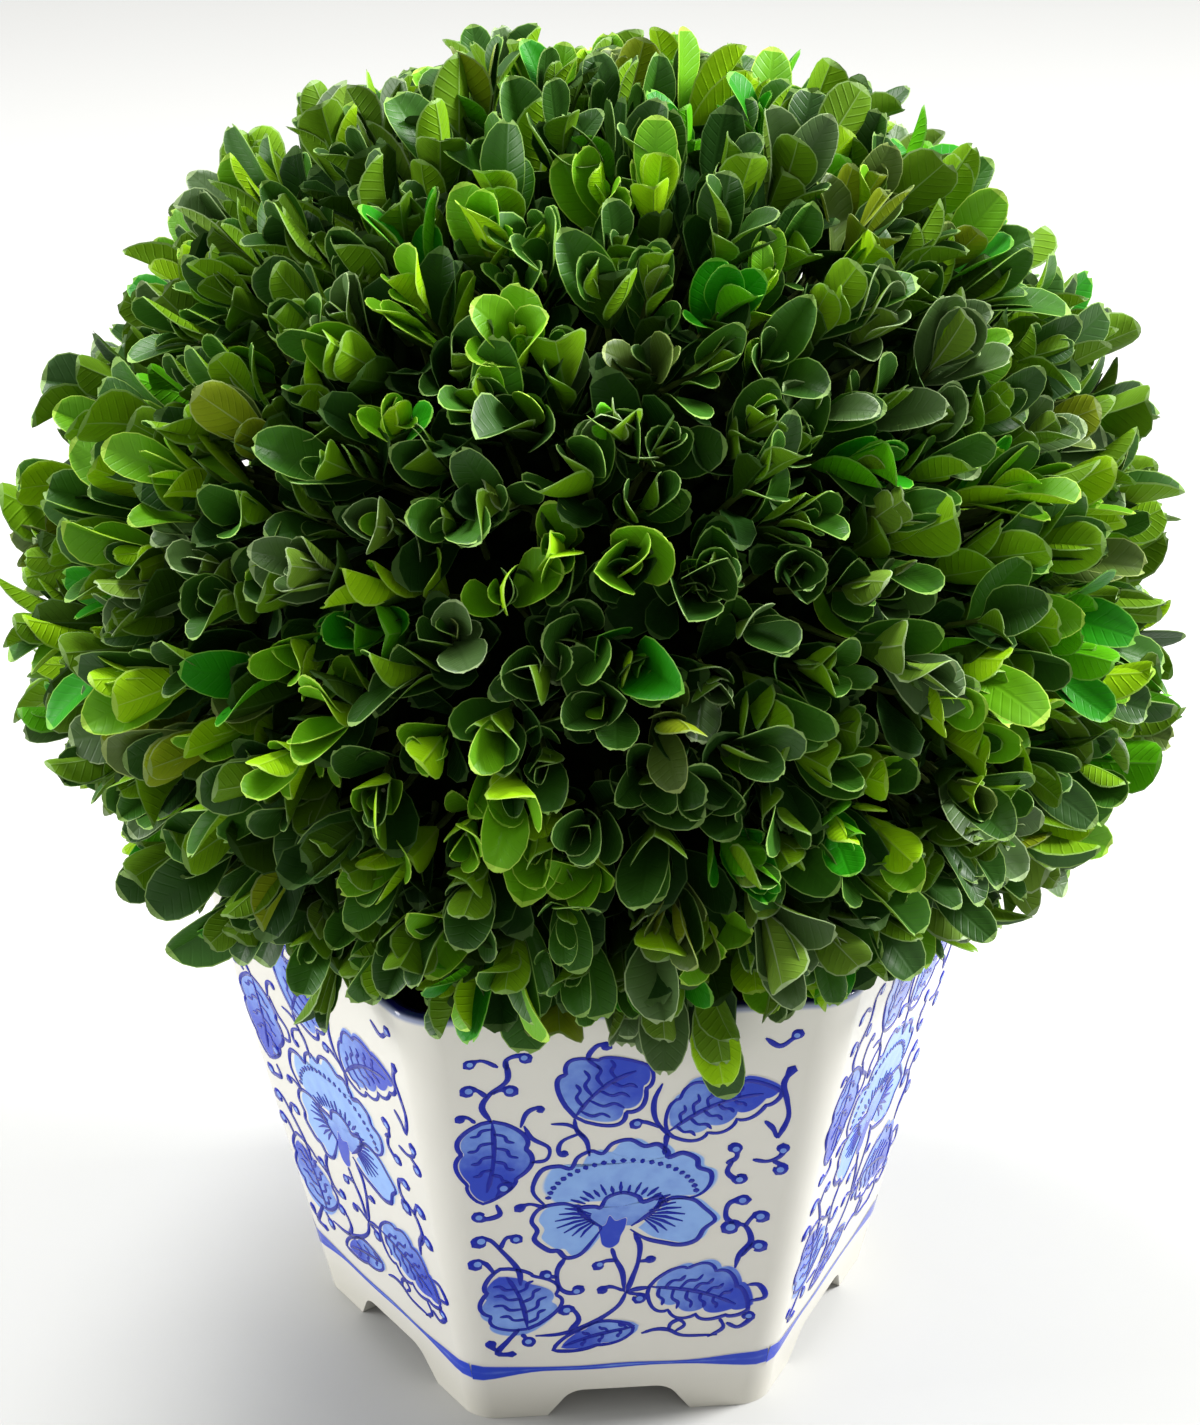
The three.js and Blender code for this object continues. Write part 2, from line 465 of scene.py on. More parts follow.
@dataclass(frozen=True)
class Glaze(Shell):
    """Porcelain under a clear glaze, white outside, and cobalt over the lip."""

    shade: str = "#c3c0b4"
    cobalt: str = "#10104a"
    edge: str = "#8f97b4"

    def make(self, flow: bpy.types.NodeTree, rim_z: float) -> bpy.types.Material:
        """Builds the material.

        Args:
            flow: the shared unevenness of the glaze.
            rim_z: the height of the rim, where the white gives way to cobalt.

        Returns:
            The material.
        """
        material, nodes, shader = self.start()
        pattern = nodes.put("ShaderNodeGroup", node_tree=flow)
        split = nodes.put("ShaderNodeSeparateXYZ")
        nodes.feed(split.inputs[0], nodes.place())
        height = split.outputs["Z"]
        pooled = nodes.math("MULTIPLY", pattern.outputs["Pool"], 0.35)
        body = nodes.mix(pooled, linear(self.colour), linear(self.shade))
        foot = nodes.math("MULTIPLY", nodes.ramp(height, 22 * MM, 3 * MM), 0.75)
        body = nodes.mix(foot, body, linear(self.shade))
        thin = nodes.mix(nodes.ramp(height, rim_z - 2.6 * MM, rim_z - 1.3 * MM), body, linear(self.edge))
        colour = nodes.mix(nodes.ramp(height, rim_z - 1.2 * MM, rim_z - 0.2 * MM), thin, linear(self.cobalt))
        nodes.feed(shader.inputs["Base Color"], colour)
        nodes.feed(shader.inputs["Normal"], nodes.bump(pattern.outputs["Ripple"], 0.12, 0.8 * MM))
        rough = nodes.math("MULTIPLY_ADD", pattern.outputs["Pool"], 0.06, self.roughness)
        nodes.feed(shader.inputs["Roughness"], rough)
        return material


@dataclass(frozen=True)
class Cobalt(Shell):
    """Cobalt blue under the glaze, in one plain colour with a glassy surface."""

    def make(self, flow: bpy.types.NodeTree) -> bpy.types.Material:
        """Builds the material with the glaze's own unevenness."""
        material, nodes, shader = self.start()
        pattern = nodes.put("ShaderNodeGroup", node_tree=flow)
        nodes.feed(shader.inputs["Normal"], nodes.bump(pattern.outputs["Ripple"], 0.12, 0.8 * MM))
        return material


@dataclass(frozen=True)
class Wash(Shell):
    """Thin blue brushed over the white.

    Its strength is in each wash's own map, where across is how dark it is and up is how blue.
    """

    deep: str = "#1436b2"
    pale: str = "#82a8e0"

    def make(self, flow: bpy.types.NodeTree) -> bpy.types.Material:
        """Builds the material with the glaze's own unevenness."""
        material, nodes, shader = self.start()
        pattern = nodes.put("ShaderNodeGroup", node_tree=flow)
        split = nodes.put("ShaderNodeSeparateXYZ")
        nodes.feed(split.inputs[0], nodes.put("ShaderNodeUVMap", uv_map="UVMap").outputs[0])
        streak = nodes.math("MULTIPLY_ADD", nodes.noise(nodes.place(), 260.0), 0.5, -0.25)
        dark = nodes.math("ADD", split.outputs["X"], streak)
        blue = nodes.mix(nodes.ramp(dark, 0.0, 1.0), linear(self.pale), linear(self.deep))
        strength = nodes.ramp(split.outputs["Y"], 0.02, 0.9)
        nodes.feed(shader.inputs["Base Color"], nodes.mix(strength, linear(self.colour), blue))
        nodes.feed(shader.inputs["Normal"], nodes.bump(pattern.outputs["Ripple"], 0.12, 0.8 * MM))
        return material


@dataclass(frozen=True)
class Bark(Shell):
    """Rough bark, moss or compost, mottled between two colours."""

    second: str = "#3a3026"
    grain: float = 300.0
    depth: float = 1.0 * MM

    def make(self) -> bpy.types.Material:
        """Builds the material."""
        material, nodes, shader = self.start()
        grain = nodes.noise(nodes.place(), self.grain, 5.0)
        share = nodes.ramp(grain, 0.35, 0.65)
        nodes.feed(shader.inputs["Base Color"], nodes.mix(share, linear(self.colour), linear(self.second)))
        nodes.feed(shader.inputs["Normal"], nodes.bump(grain, 0.8, self.depth))
        return material


WHITE = "#d0cec6"
PORCELAIN = Glaze("porcelain_glaze", WHITE, 0.09)
INSIDE_COBALT = Cobalt("inside_cobalt", "#0c0c40", 0.08)
LINE_COBALT = Cobalt("line_cobalt", "#0b1c94", 0.12, 0.15)
WASH = Wash("blue_wash", WHITE, 0.1, 0.3)
STEM_BARK = Bark("stem_bark", "#6c5c42", 0.85, 0.15, second="#3e3324")
# near-black moss: partly the core's own colour, partly painted shade that keeps the gaps in the ball dark
MOSS_AND_SHADE = Bark("core_moss_and_shade", "#0c1406", 0.95, 0.0, second="#040703", grain=160.0, depth=2 * MM)
COMPOST = Bark("bark_compost", "#33261a", 0.95, 0.1, second="#120d08", grain=120.0, depth=2 * MM)
TWIG = Shell("twig_green", "#46541f", 0.6, 0.15)
CUT_END = Shell("cut_end", "#c9d3a0", 0.7)


class Tint(Enum):
    """The leaf colours dealt out to the sprays: share of the sprays, gloss, upper face, underside, margin."""

    DEEP = (0.34, 0.26, "#24490e", "#567c0c", "#76944e")
    FOREST = (0.27, 0.26, "#305e12", "#6a960a", "#80a44e")
    EMERALD = (0.07, 0.2, "#1e7804", "#50a006", "#66a234")
    GREY_GREEN = (0.11, 0.34, "#425e2c", "#678826", "#8ca26e")
    LIME = (0.17, 0.22, "#5c960c", "#8ebe0a", "#9cc244")
    OLIVE = (0.04, 0.3, "#4a6022", "#7e9012", "#8a9c54")
    # SHADED is painted shade: a darker copy of the leaf colours, dealt to the inner pairs so that the depth
    # of the ball reads dark
    SHADED = (0.0, 0.08, "#17330c", "#2e480c", "#405a2c")

    @property
    def share(self) -> float:
        """How many of the sprays have this tint."""
        return self.value[0]

    def skins(self, veins: bpy.types.NodeTree) -> list[bpy.types.Material]:
        """The four materials of a leaf: upper face, underside, margin and midrib."""
        label = self.name.lower()
        _, gloss, upper, under, margin = self.value
        return [
            LeafSkin(f"leaf_{label}_upper", upper, 0.44, gloss, relief=0.35).make(veins),
            LeafSkin(f"leaf_{label}_under", under, 0.6, gloss / 2, relief=0.7, raised=True).make(veins),
            LeafSkin(f"leaf_{label}_margin", margin, 0.5, gloss).make(veins),
            LeafSkin(f"leaf_{label}_midrib", margin, 0.5, gloss / 2).make(veins),
        ]


# ------------------------------------------------------------------------------------------------- pot


@dataclass
class Pot:
    """The glazed pot: six tapered sides with rounded corners, a rounded lip and six feet."""

    wall: float = 5 * MM
    corner_share: float = 7.2
    lip_round: float = 2.3 * MM
    floor_z: float = 15 * MM
    arch_share: tuple[float, float] = (0.25, 0.33)
    foot_reach: float = 18 * MM
    edge_round: float = 1.1 * MM

    def __post_init__(self) -> None:
        """Reads the pot's size from the frame."""
        low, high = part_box("pot_body")
        self.rim_z = high.z
        self.rim_apothem = high.y
        foot_low, foot_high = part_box("pot_foot_1")
        self.foot_z = foot_high.z
        slope = (self.rim_apothem + foot_low.y) / (self.rim_z - self.foot_z)
        self.slope = slope
        self.ground_apothem = self.rim_apothem - slope * self.rim_z

    def apothem(self, z: float | np.ndarray) -> float | np.ndarray:
        """The distance from the axis to the middle of a side, outside, at a height or at each of several."""
        return self.ground_apothem + self.slope * z

    def depth_in_wall(self, points: np.ndarray) -> np.ndarray:
        """How far points lie inside the pot's outer face.

        Args:
            points: places, one in each row.

        Returns:
            The distance in from the nearest side, negative outside the pot.
        """
        turns = np.arange(SIDES) * 2 * HALF_SIDE - math.pi / 2
        sides = np.stack([np.cos(turns), np.sin(turns)])
        return self.apothem(points[..., 2]) - (points[..., :2] @ sides).max(-1)

    def blank(self) -> bpy.types.Object:
        """The tapered block with rounded corners."""
        widen = 1 / math.cos(HALF_SIDE)
        deselect()
        bpy.ops.mesh.primitive_cone_add(
            vertices=SIDES,
            radius1=self.ground_apothem * widen,
            radius2=self.rim_apothem * widen,
            depth=self.rim_z,
            location=(0, 0, self.rim_z / 2),
            rotation=(0, 0, HALF_SIDE),
        )
        pot = bpy.context.object
        pot.name = "glazed_pot"
        apply_place(pot)
        bpy.ops.object.mode_set(mode="EDIT")
        pick(pot, "EDGE", lambda e: abs(e.verts[0].co.z - e.verts[1].co.z) > self.rim_z / 2)
        bpy.ops.mesh.bevel(offset_type="PERCENT", offset_pct=self.corner_share, segments=8, profile=0.5)
        bpy.ops.object.mode_set(mode="OBJECT")
        return pot

    def hollow(self, pot: bpy.types.Object) -> None:
        """Opens the block from the top, and rounds its lip."""
        inner_rim = self.rim_apothem - self.wall
        narrowing = (self.apothem(self.floor_z) - self.wall) / inner_rim
        activate(pot)
        bpy.ops.object.mode_set(mode="EDIT")
        pick(pot, "FACE", lambda f: f.normal.z > 0.9)
        bpy.ops.mesh.inset(thickness=self.wall)
        drop = self.floor_z - self.rim_z
        bpy.ops.mesh.extrude_region_move(TRANSFORM_OT_translate={"value": (0, 0, drop)})
        bpy.ops.transform.resize(
            value=(narrowing, narrowing, 1), center_override=(0, 0, self.floor_z)
        )
        near = self.rim_z - 0.1 * MM
        pick(pot, "EDGE", lambda e: self.runs_round(e, near))
        bpy.ops.mesh.bevel(offset=self.lip_round, segments=5, profile=0.5)
        bpy.ops.object.mode_set(mode="OBJECT")

    def runs_round(self, edge: bmesh.types.BMEdge, near: float) -> bool:
        """Finds the edges of the lip that run round the pot.

        Args:
            edge: an edge of the pot.
            near: a height just under the rim.

        Returns:
            True for an edge that lies in the rim and doesn't cross the lip.
        """
        if min(v.co.z for v in edge.verts) <= near:
            return False
        a, b = (np.array(v.co) for v in edge.verts)
        depths = self.depth_in_wall(np.stack([a, b]))
        return abs(depths[0] - depths[1]) < 0.6 * self.wall

    def arch(self, turn: float) -> bpy.types.Object:
        """A bar whose section is the arch between two feet, and which passes under the pot.

        Args:
            turn: the direction of the bar.

        Returns:
            The bar, ready to be cut away.
        """
        side = 2 * self.ground_apothem * math.tan(HALF_SIDE)
        wide, narrow = (side * (1 - 2 * share) for share in self.arch_share)
        below = self.foot_z
        widest = wide + (wide - narrow)
        deselect()
        bpy.ops.mesh.primitive_cube_add(size=1, location=(0, 0, 0), scale=(widest, 0.3, self.foot_z + below))
        bar = bpy.context.object
        apply_place(bar)
        bpy.ops.object.mode_set(mode="EDIT")
        pick(bar, "FACE", lambda f: f.normal.z > 0.9)
        bpy.ops.transform.resize(value=(narrow / widest, 1, 1))
        pick(bar, "EDGE", lambda e: e.verts[0].co.z > 0 and abs(e.verts[0].co.y - e.verts[1].co.y) > 0.1)
        bpy.ops.mesh.bevel(offset=3 * MM, segments=4, profile=0.5)
        bpy.ops.object.mode_set(mode="OBJECT")
        bar.rotation_euler.z = turn
        apply_place(bar)
        return bar

    def recess(self) -> bpy.types.Object:
        """The hollow under the pot's floor, inside the ring of feet."""
        inner = self.ground_apothem - self.foot_reach * 0.7
        deselect()
        bpy.ops.mesh.primitive_cone_add(
            vertices=48, radius1=inner, radius2=inner, depth=2 * self.foot_z, location=(0, 0, 0)
        )
        return bpy.context.object

    def cut(self, pot: bpy.types.Object) -> None:
        """Cuts the arches between the feet, and softens the edges that this leaves."""
        cutters = [self.arch(2 * HALF_SIDE * i) for i in range(SIDES // 2)] + [self.recess()]
        for cutter in cutters:
            apply_modifier(pot, "BOOLEAN", operation="DIFFERENCE", solver="EXACT", object=cutter)
            bpy.data.objects.remove(cutter)
        sharper = math.radians(38)
        apply_modifier(
            pot, "BEVEL", width=self.edge_round, segments=3, limit_method="ANGLE", angle_limit=sharper
        )

    def build(self, flow: bpy.types.NodeTree) -> bpy.types.Object:
        """Makes the pot and dresses it.

        Args:
            flow: the shared unevenness of the glaze.

        Returns:
            The pot.
        """
        pot = self.blank()
        self.hollow(pot)
        self.cut(pot)
        activate(pot)
        bpy.ops.object.shade_smooth_by_angle(angle=math.radians(42))
        apply_modifier(pot, "WEIGHTED_NORMAL", keep_sharp=True, weight=80)
        pot.data.materials.clear()
        pot.data.materials.append(PORCELAIN.make(flow, self.rim_z))
        pot.data.materials.append(INSIDE_COBALT.make(flow))
        for face in pot.data.polygons:
            outward = face.normal.x * face.center.x + face.normal.y * face.center.y
            inside = self.depth_in_wall(np.array(face.center)[None])[0] > 0.7 * self.wall
            deep = face.center.z > self.floor_z - 1 * MM and inside
            face.material_index = 1 if deep and (outward < 0 or face.normal.z > 0.5) else 0
        nodes = ["pot_body"] + [f"pot_foot_{i + 1}" for i in range(SIDES)]
        finish_piece(pot, "porcelain", *nodes)
        return pot


# ------------------------------------------------------------------------------------- painted design


@dataclass(frozen=True)
class Line:
    """A brush line through points in millimetres, which may end in a bulb of paint."""

    points: tuple[tuple[float, float], ...]
    width: float = 0.75
    bulb: float = 0.0

    def curve(self) -> np.ndarray:
        """The line's middle."""
        return through(np.array(self.points, float), 5)


@dataclass(frozen=True)
class PaintedLeaf:
    """A lobed leaf with a midrib, side veins, and a wash that misses its outline a little."""

    base: tuple[float, float]
    tip: tuple[float, float]
    half_width: float
    lobes: int = 4
    lean: float = 0.0
    slip: tuple[float, float] = (0.6, 0.5)
    dark: float = 0.75

    def frame(self) -> tuple[np.ndarray, np.ndarray, np.ndarray]:
        """The base, the way to the tip, and the way across."""
        base = np.array(self.base, float)
        along = np.array(self.tip, float) - base
        across = np.array([-along[1], along[0]]) / np.linalg.norm(along)
        return base, along, across

    def rib(self, t: np.ndarray) -> np.ndarray:
        """Points of the midrib at shares t of its length."""
        base, along, across = self.frame()
        bow = self.lean * np.sin(math.pi * t)
        return base + along * t[:, None] + across * bow[:, None]

    def edge(self, side: int, scale: float = 1.0) -> np.ndarray:
        """Draws one side of the outline.

        Args:
            side: 1 or -1.
            scale: the share of the leaf's width.

        Returns:
            The points from the base to the tip.
        """
        t = np.linspace(0, 1, 12 * self.lobes + 1)
        across = self.frame()[2]
        swell = np.sin(math.pi * t**0.78) ** 0.66
        beat = np.abs(np.sin(math.pi * (self.lobes - 0.25) * t + 0.35 * side))
        scallop = 0.84 + 0.24 * beat**0.6
        width = self.half_width * swell * scallop * scale
        return self.rib(t) + side * across * width[:, None]

    def outline(self, scale: float = 1.0) -> np.ndarray:
        """The closed outline."""
        return np.vstack([self.edge(1, scale), self.edge(-1, scale)[-2:0:-1]])

    def lines(self) -> list[tuple[np.ndarray, float]]:
        """The outline, the midrib and the side veins, each with its width."""
        whole = self.outline()
        drawn = [(np.vstack([whole, whole[:1]]), 0.72), (self.rib(np.linspace(0.02, 0.86, 9)), 0.8)]
        across = self.frame()[2]
        way = self.frame()[1] / np.linalg.norm(self.frame()[1])
        veins = self.lobes + 1
        for k in range(veins):
            reach = self.half_width * (0.74 - 0.1 * abs(k - 1))
            for side in (1, -1):
                start = self.rib(np.array([0.12 + (0.66 * k + 0.12 * side) / veins]))[0]
                bend = start + side * across * reach * 0.46 + way * reach * 0.12
                dip = start + side * across * reach * 0.62 + way * reach * 0.42
                end = start + side * across * reach * 0.94 + way * reach * 0.5
                drawn.append((through(np.stack([start, bend, dip, end]), 4), 0.62))
        return drawn


@dataclass(frozen=True)
class Blossom:
    """An open flower seen from the side: a scalloped fan over two side petals, a cup and a calyx."""

    fan: Line = Line(
        (
            (-19.3, 58.8), (-22.6, 64.5), (-20.6, 71.2), (-16.5, 72.6), (-13.4, 71.6), (-11.8, 75.2),
            (-8.6, 77.2), (-5.8, 76.2), (-3.4, 79.4), (0.8, 80.4), (4.2, 78.0), (7.4, 78.4), (9.8, 75.8),
            (10.2, 73.8), (13.6, 75.0), (17.0, 72.8), (17.6, 69.8), (20.6, 67.8), (20.4, 63.4),
            (17.0, 59.8), (9.6, 59.4),
        ),
        0.85,
    )
    left_petal: Line = Line(
        (
            (-10.8, 57.4), (-15.0, 59.6), (-20.6, 58.4), (-22.8, 54.2), (-21.4, 50.6), (-22.0, 47.2),
            (-18.6, 43.4), (-16.2, 43.0), (-14.2, 40.4), (-10.8, 41.4), (-8.0, 45.6), (-5.6, 50.2),
        ),
        0.85,
    )
    right_petal: Line = Line(
        (
            (7.6, 56.8), (11.4, 59.6), (16.4, 58.8), (19.4, 55.6), (22.2, 51.4), (19.6, 48.2), (17.8, 44.4),
            (14.0, 43.0), (9.2, 44.2), (5.0, 46.0), (1.4, 49.4),
        ),
        0.85,
    )
    cup: Line = Line(
        (
            (-5.6, 50.6), (-9.2, 54.0), (-11.2, 57.6), (-7.6, 58.0), (-6.0, 57.6), (-4.4, 61.0), (-0.6, 62.4),
            (3.0, 60.8), (4.4, 58.8), (8.6, 60.4), (8.0, 57.0), (4.4, 53.0), (1.6, 50.6),
        ),
        0.85,
    )
    calyx: Line = Line(
        (
            (-6.6, 50.8), (-4.8, 51.6), (-3.8, 54.8), (-2.2, 52.8), (0.4, 53.6), (0.2, 50.2), (-0.8, 47.4),
            (-1.4, 44.6), (-3.4, 43.0), (-5.4, 44.2), (-6.0, 47.2), (-6.6, 50.8),
        )
    )
    dots: int = 23
    stamens: int = 15

    def lines(self) -> list[tuple[np.ndarray, float]]:
        """All the flower's brush lines, each with its width."""
        petals = (self.fan, self.left_petal, self.right_petal, self.cup)
        drawn = [(petal.curve(), petal.width) for petal in petals]
        for k in range(self.dots):
            turn = math.radians(8 + 164 * k / (self.dots - 1))
            way = np.array([math.cos(turn), 0.92 * math.sin(turn)])
            middle = np.array([-0.8, 60.0]) + way * np.array([18.2, 14.6])
            drawn.append((np.stack([middle - way * 0.75, middle, middle + way * 0.75]), 1.0))
        for k in range(self.stamens):
            turn = math.radians(14 + 152 * k / (self.stamens - 1))
            way = np.array([math.cos(turn), math.sin(turn)])
            start = np.array([-1.2, 57.0]) + way * np.array([9.4, 5.2])
            reach = 2.8 + 1.2 * (k % 2)
            drawn.append((np.stack([start, start + way * reach * 0.5, start + way * reach]), 0.65))
        for side, middle in ((-1, (-5.8, 54.6)), (1, (3.4, 54.8))):
            for k in range(7):
                turn = math.radians(20 - 12.5 * k)
                way = np.array([side * math.cos(turn), math.sin(turn)])
                start = np.array(middle) + way * 2.6
                bend = start + way * 4.2 + np.array([0, 0.5])
                drawn.append((np.stack([start, bend, start + way * (9.2 - 0.9 * abs(k - 2.5))]), 0.6))
        return drawn


STEMS = (
    Line(((-3.0, 43.0), (-2.0, 39.0), (-0.2, 34.0), (0.4, 27.0)), 0.85),
    Line(((2.4, 48.0), (3.9, 43.5), (3.6, 37.5), (2.2, 31.5), (0.9, 26.6)), 0.85),
    Line(((0.9, 27.0), (-0.8, 22.4), (-4.6, 18.4), (-9.6, 15.0), (-15.4, 12.8), (-21.6, 12.6)), 0.85),
    Line(((0.9, 27.0), (3.4, 27.8), (6.6, 28.2)), 0.9),
    Line(((-9.0, 75.6), (-9.8, 80.6), (-12.2, 84.6), (-12.8, 88.4)), 0.8),
    Line(((-10.2, 82.0), (-13.8, 86.2), (-18.4, 87.0)), 0.6),
    Line(((9.0, 74.8), (9.4, 79.6), (9.6, 82.0)), 0.85),
    Line(((9.4, 81.6), (6.6, 87.0), (6.2, 93.0), (8.0, 98.6)), 0.8),
)
TENDRILS = (
    Line(((-32.6, 88.6), (-34.8, 93.6), (-32.8, 98.0), (-28.8, 102.2), (-29.2, 108.6)), 0.9),
    Line(((-29.0, 105.6), (-29.0, 108.8), (-26.0, 110.0), (-23.2, 107.8)), 0.9, 1.5),
    Line(((-32.8, 98.0), (-29.6, 99.2), (-26.2, 97.6)), 0.8, 1.7),
    Line(((-33.6, 97.0), (-36.6, 99.6), (-40.0, 98.0)), 0.8, 1.7),
    Line(((-31.0, 106.6), (-35.2, 109.0), (-39.2, 106.8)), 0.7, 1.4),
    Line(((-36.4, 88.6), (-38.6, 90.6), (-41.2, 89.2)), 0.7, 1.2),
    Line(((-25.6, 86.4), (-24.2, 91.0), (-21.6, 92.6), (-20.4, 91.0)), 0.8, 1.0),
    Line(((-24.8, 86.8), (-22.8, 82.4), (-18.8, 79.0), (-19.4, 75.0), (-23.4, 74.4)), 0.7),
    Line(((-11.4, 83.4), (-15.6, 81.0), (-16.4, 77.4), (-14.0, 76.4)), 0.7, 1.1),
    Line(((-19.8, 58.6), (-23.6, 60.0), (-27.0, 57.8)), 0.7, 1.3),
    Line(((-31.4, 62.8), (-29.6, 66.0), (-27.4, 67.6)), 0.7, 1.8),
    Line(((-31.4, 60.4), (-30.6, 56.8), (-34.6, 55.6), (-36.8, 58.0)), 0.9, 1.6),
    Line(((-25.4, 31.4), (-26.0, 37.0), (-30.2, 44.2), (-33.6, 48.4), (-37.4, 46.0)), 0.85, 1.9),
    Line(((-30.6, 44.6), (-28.6, 48.8), (-25.0, 47.0)), 0.8, 1.5),
    Line(((-31.8, 36.0), (-34.6, 40.2), (-38.2, 38.2)), 0.8, 1.8),
    Line(((-14.4, 40.6), (-16.4, 35.6), (-15.6, 29.6), (-12.6, 27.6), (-9.8, 30.0)), 0.85, 1.5),
    Line(((-16.2, 33.6), (-18.4, 34.2), (-20.4, 36.0)), 0.75, 1.4),
    Line(((-1.6, 38.6), (-4.8, 38.4), (-7.4, 35.6)), 0.75, 1.4),
    Line(((3.8, 37.8), (5.8, 38.0), (8.0, 38.8)), 0.7, 1.2),
    Line(((0.4, 27.4), (-3.4, 29.2), (-6.2, 27.0)), 0.75, 1.3),
    Line(((1.2, 26.6), (4.4, 25.4), (3.2, 22.6)), 0.75, 1.6),
    Line(((-13.4, 13.4), (-10.8, 17.6), (-12.6, 21.6), (-16.0, 20.6)), 0.9, 1.7),
    Line(((27.8, 33.6), (28.8, 38.4), (31.4, 42.8), (30.0, 48.0), (27.4, 49.0), (24.0, 46.6)), 0.95, 2.2),
    Line(((29.6, 48.2), (32.0, 51.8), (35.6, 50.2)), 0.85, 1.9),
    Line(((29.2, 37.6), (32.0, 41.4), (35.4, 39.6)), 0.8, 1.9),
    Line(((27.0, 49.0), (24.8, 52.2), (25.8, 57.0), (31.0, 57.6)), 0.95, 1.7),
    Line(((24.2, 70.6), (26.6, 72.4), (26.4, 75.4), (24.4, 76.6)), 0.9, 1.6),
    Line(((25.8, 71.6), (24.6, 67.6), (27.2, 64.8), (29.2, 66.4)), 0.9, 1.6),
    Line(((30.6, 71.4), (34.4, 70.6), (37.6, 72.6), (37.8, 76.6)), 0.8, 1.5),
    Line(((35.4, 70.8), (37.8, 68.6), (36.4, 65.8)), 0.8, 1.7),
    Line(((36.4, 78.4), (38.6, 85.2), (38.0, 91.0), (37.0, 96.6), (39.4, 102.4)), 0.9, 1.3),
    Line(((33.0, 84.4), (35.0, 81.8), (36.2, 78.4)), 0.85),
    Line(((8.6, 83.6), (3.6, 86.2), (0.6, 84.4)), 0.7, 1.5),
    Line(((32.0, 111.8), (35.4, 109.0), (38.4, 111.2), (40.6, 114.0)), 0.9, 1.4),
    Line(((-6.8, 104.4), (-9.8, 108.2), (-7.4, 112.2), (-4.2, 111.0)), 0.8, 1.3),
    Line(((5.6, 103.4), (9.8, 106.4), (8.8, 110.8), (5.4, 111.4)), 0.8, 1.3),
    Line(((5.0, 11.4), (8.4, 12.6), (11.8, 12.2), (15.6, 9.8), (24.2, 9.4)), 0.75, 0.0),
    Line(((11.8, 11.8), (12.4, 14.4), (14.4, 15.6), (15.8, 13.6), (13.4, 11.4)), 0.7),
    Line(((24.6, 15.4), (25.6, 11.8), (21.8, 8.8)), 0.7),
    Line(((26.4, 13.6), (29.4, 11.8), (32.4, 14.8), (30.4, 17.0)), 0.9, 1.5),
    Line(((-25.6, 15.6), (-28.4, 11.4), (-31.0, 6.8), (-26.2, 6.2)), 1.0, 1.1),
    Line(((-30.6, 7.6), (-32.2, 8.8), (-33.2, 11.8)), 0.9, 1.3),
    Line(((-25.0, 13.6), (-23.6, 11.2), (-22.4, 8.8)), 0.8, 1.6),
    Line(((32.0, 21.2), (35.8, 22.4), (34.2, 26.8), (31.0, 27.2)), 0.9, 0.0),
)
LEAVES = (
    PaintedLeaf((-23.6, 15.4), (-30.4, 37.6), 9.8, lobes=3, lean=-1.5, slip=(-0.5, -2.4), dark=0.7),
    PaintedLeaf((6.6, 28.4), (31.6, 18.0), 9.6, lobes=4, lean=2.2, slip=(1.6, 1.8), dark=0.75),
    PaintedLeaf((-32.4, 88.8), (-34.6, 61.0), 8.8, lobes=3, lean=1.4, slip=(0.3, 0.2), dark=0.85),
    PaintedLeaf((-12.6, 89.0), (4.8, 104.6), 11.4, lobes=3, lean=2.6, slip=(-0.3, 0.8), dark=0.8),
    PaintedLeaf((9.6, 82.2), (36.6, 93.8), 8.6, lobes=4, lean=3.4, slip=(0.3, 2.2), dark=0.8),
    PaintedLeaf((3.0, 14.0), (-17.0, 7.0), 4.2, lobes=2, lean=-1.0, slip=(1.6, 0.6), dark=0.8),
)


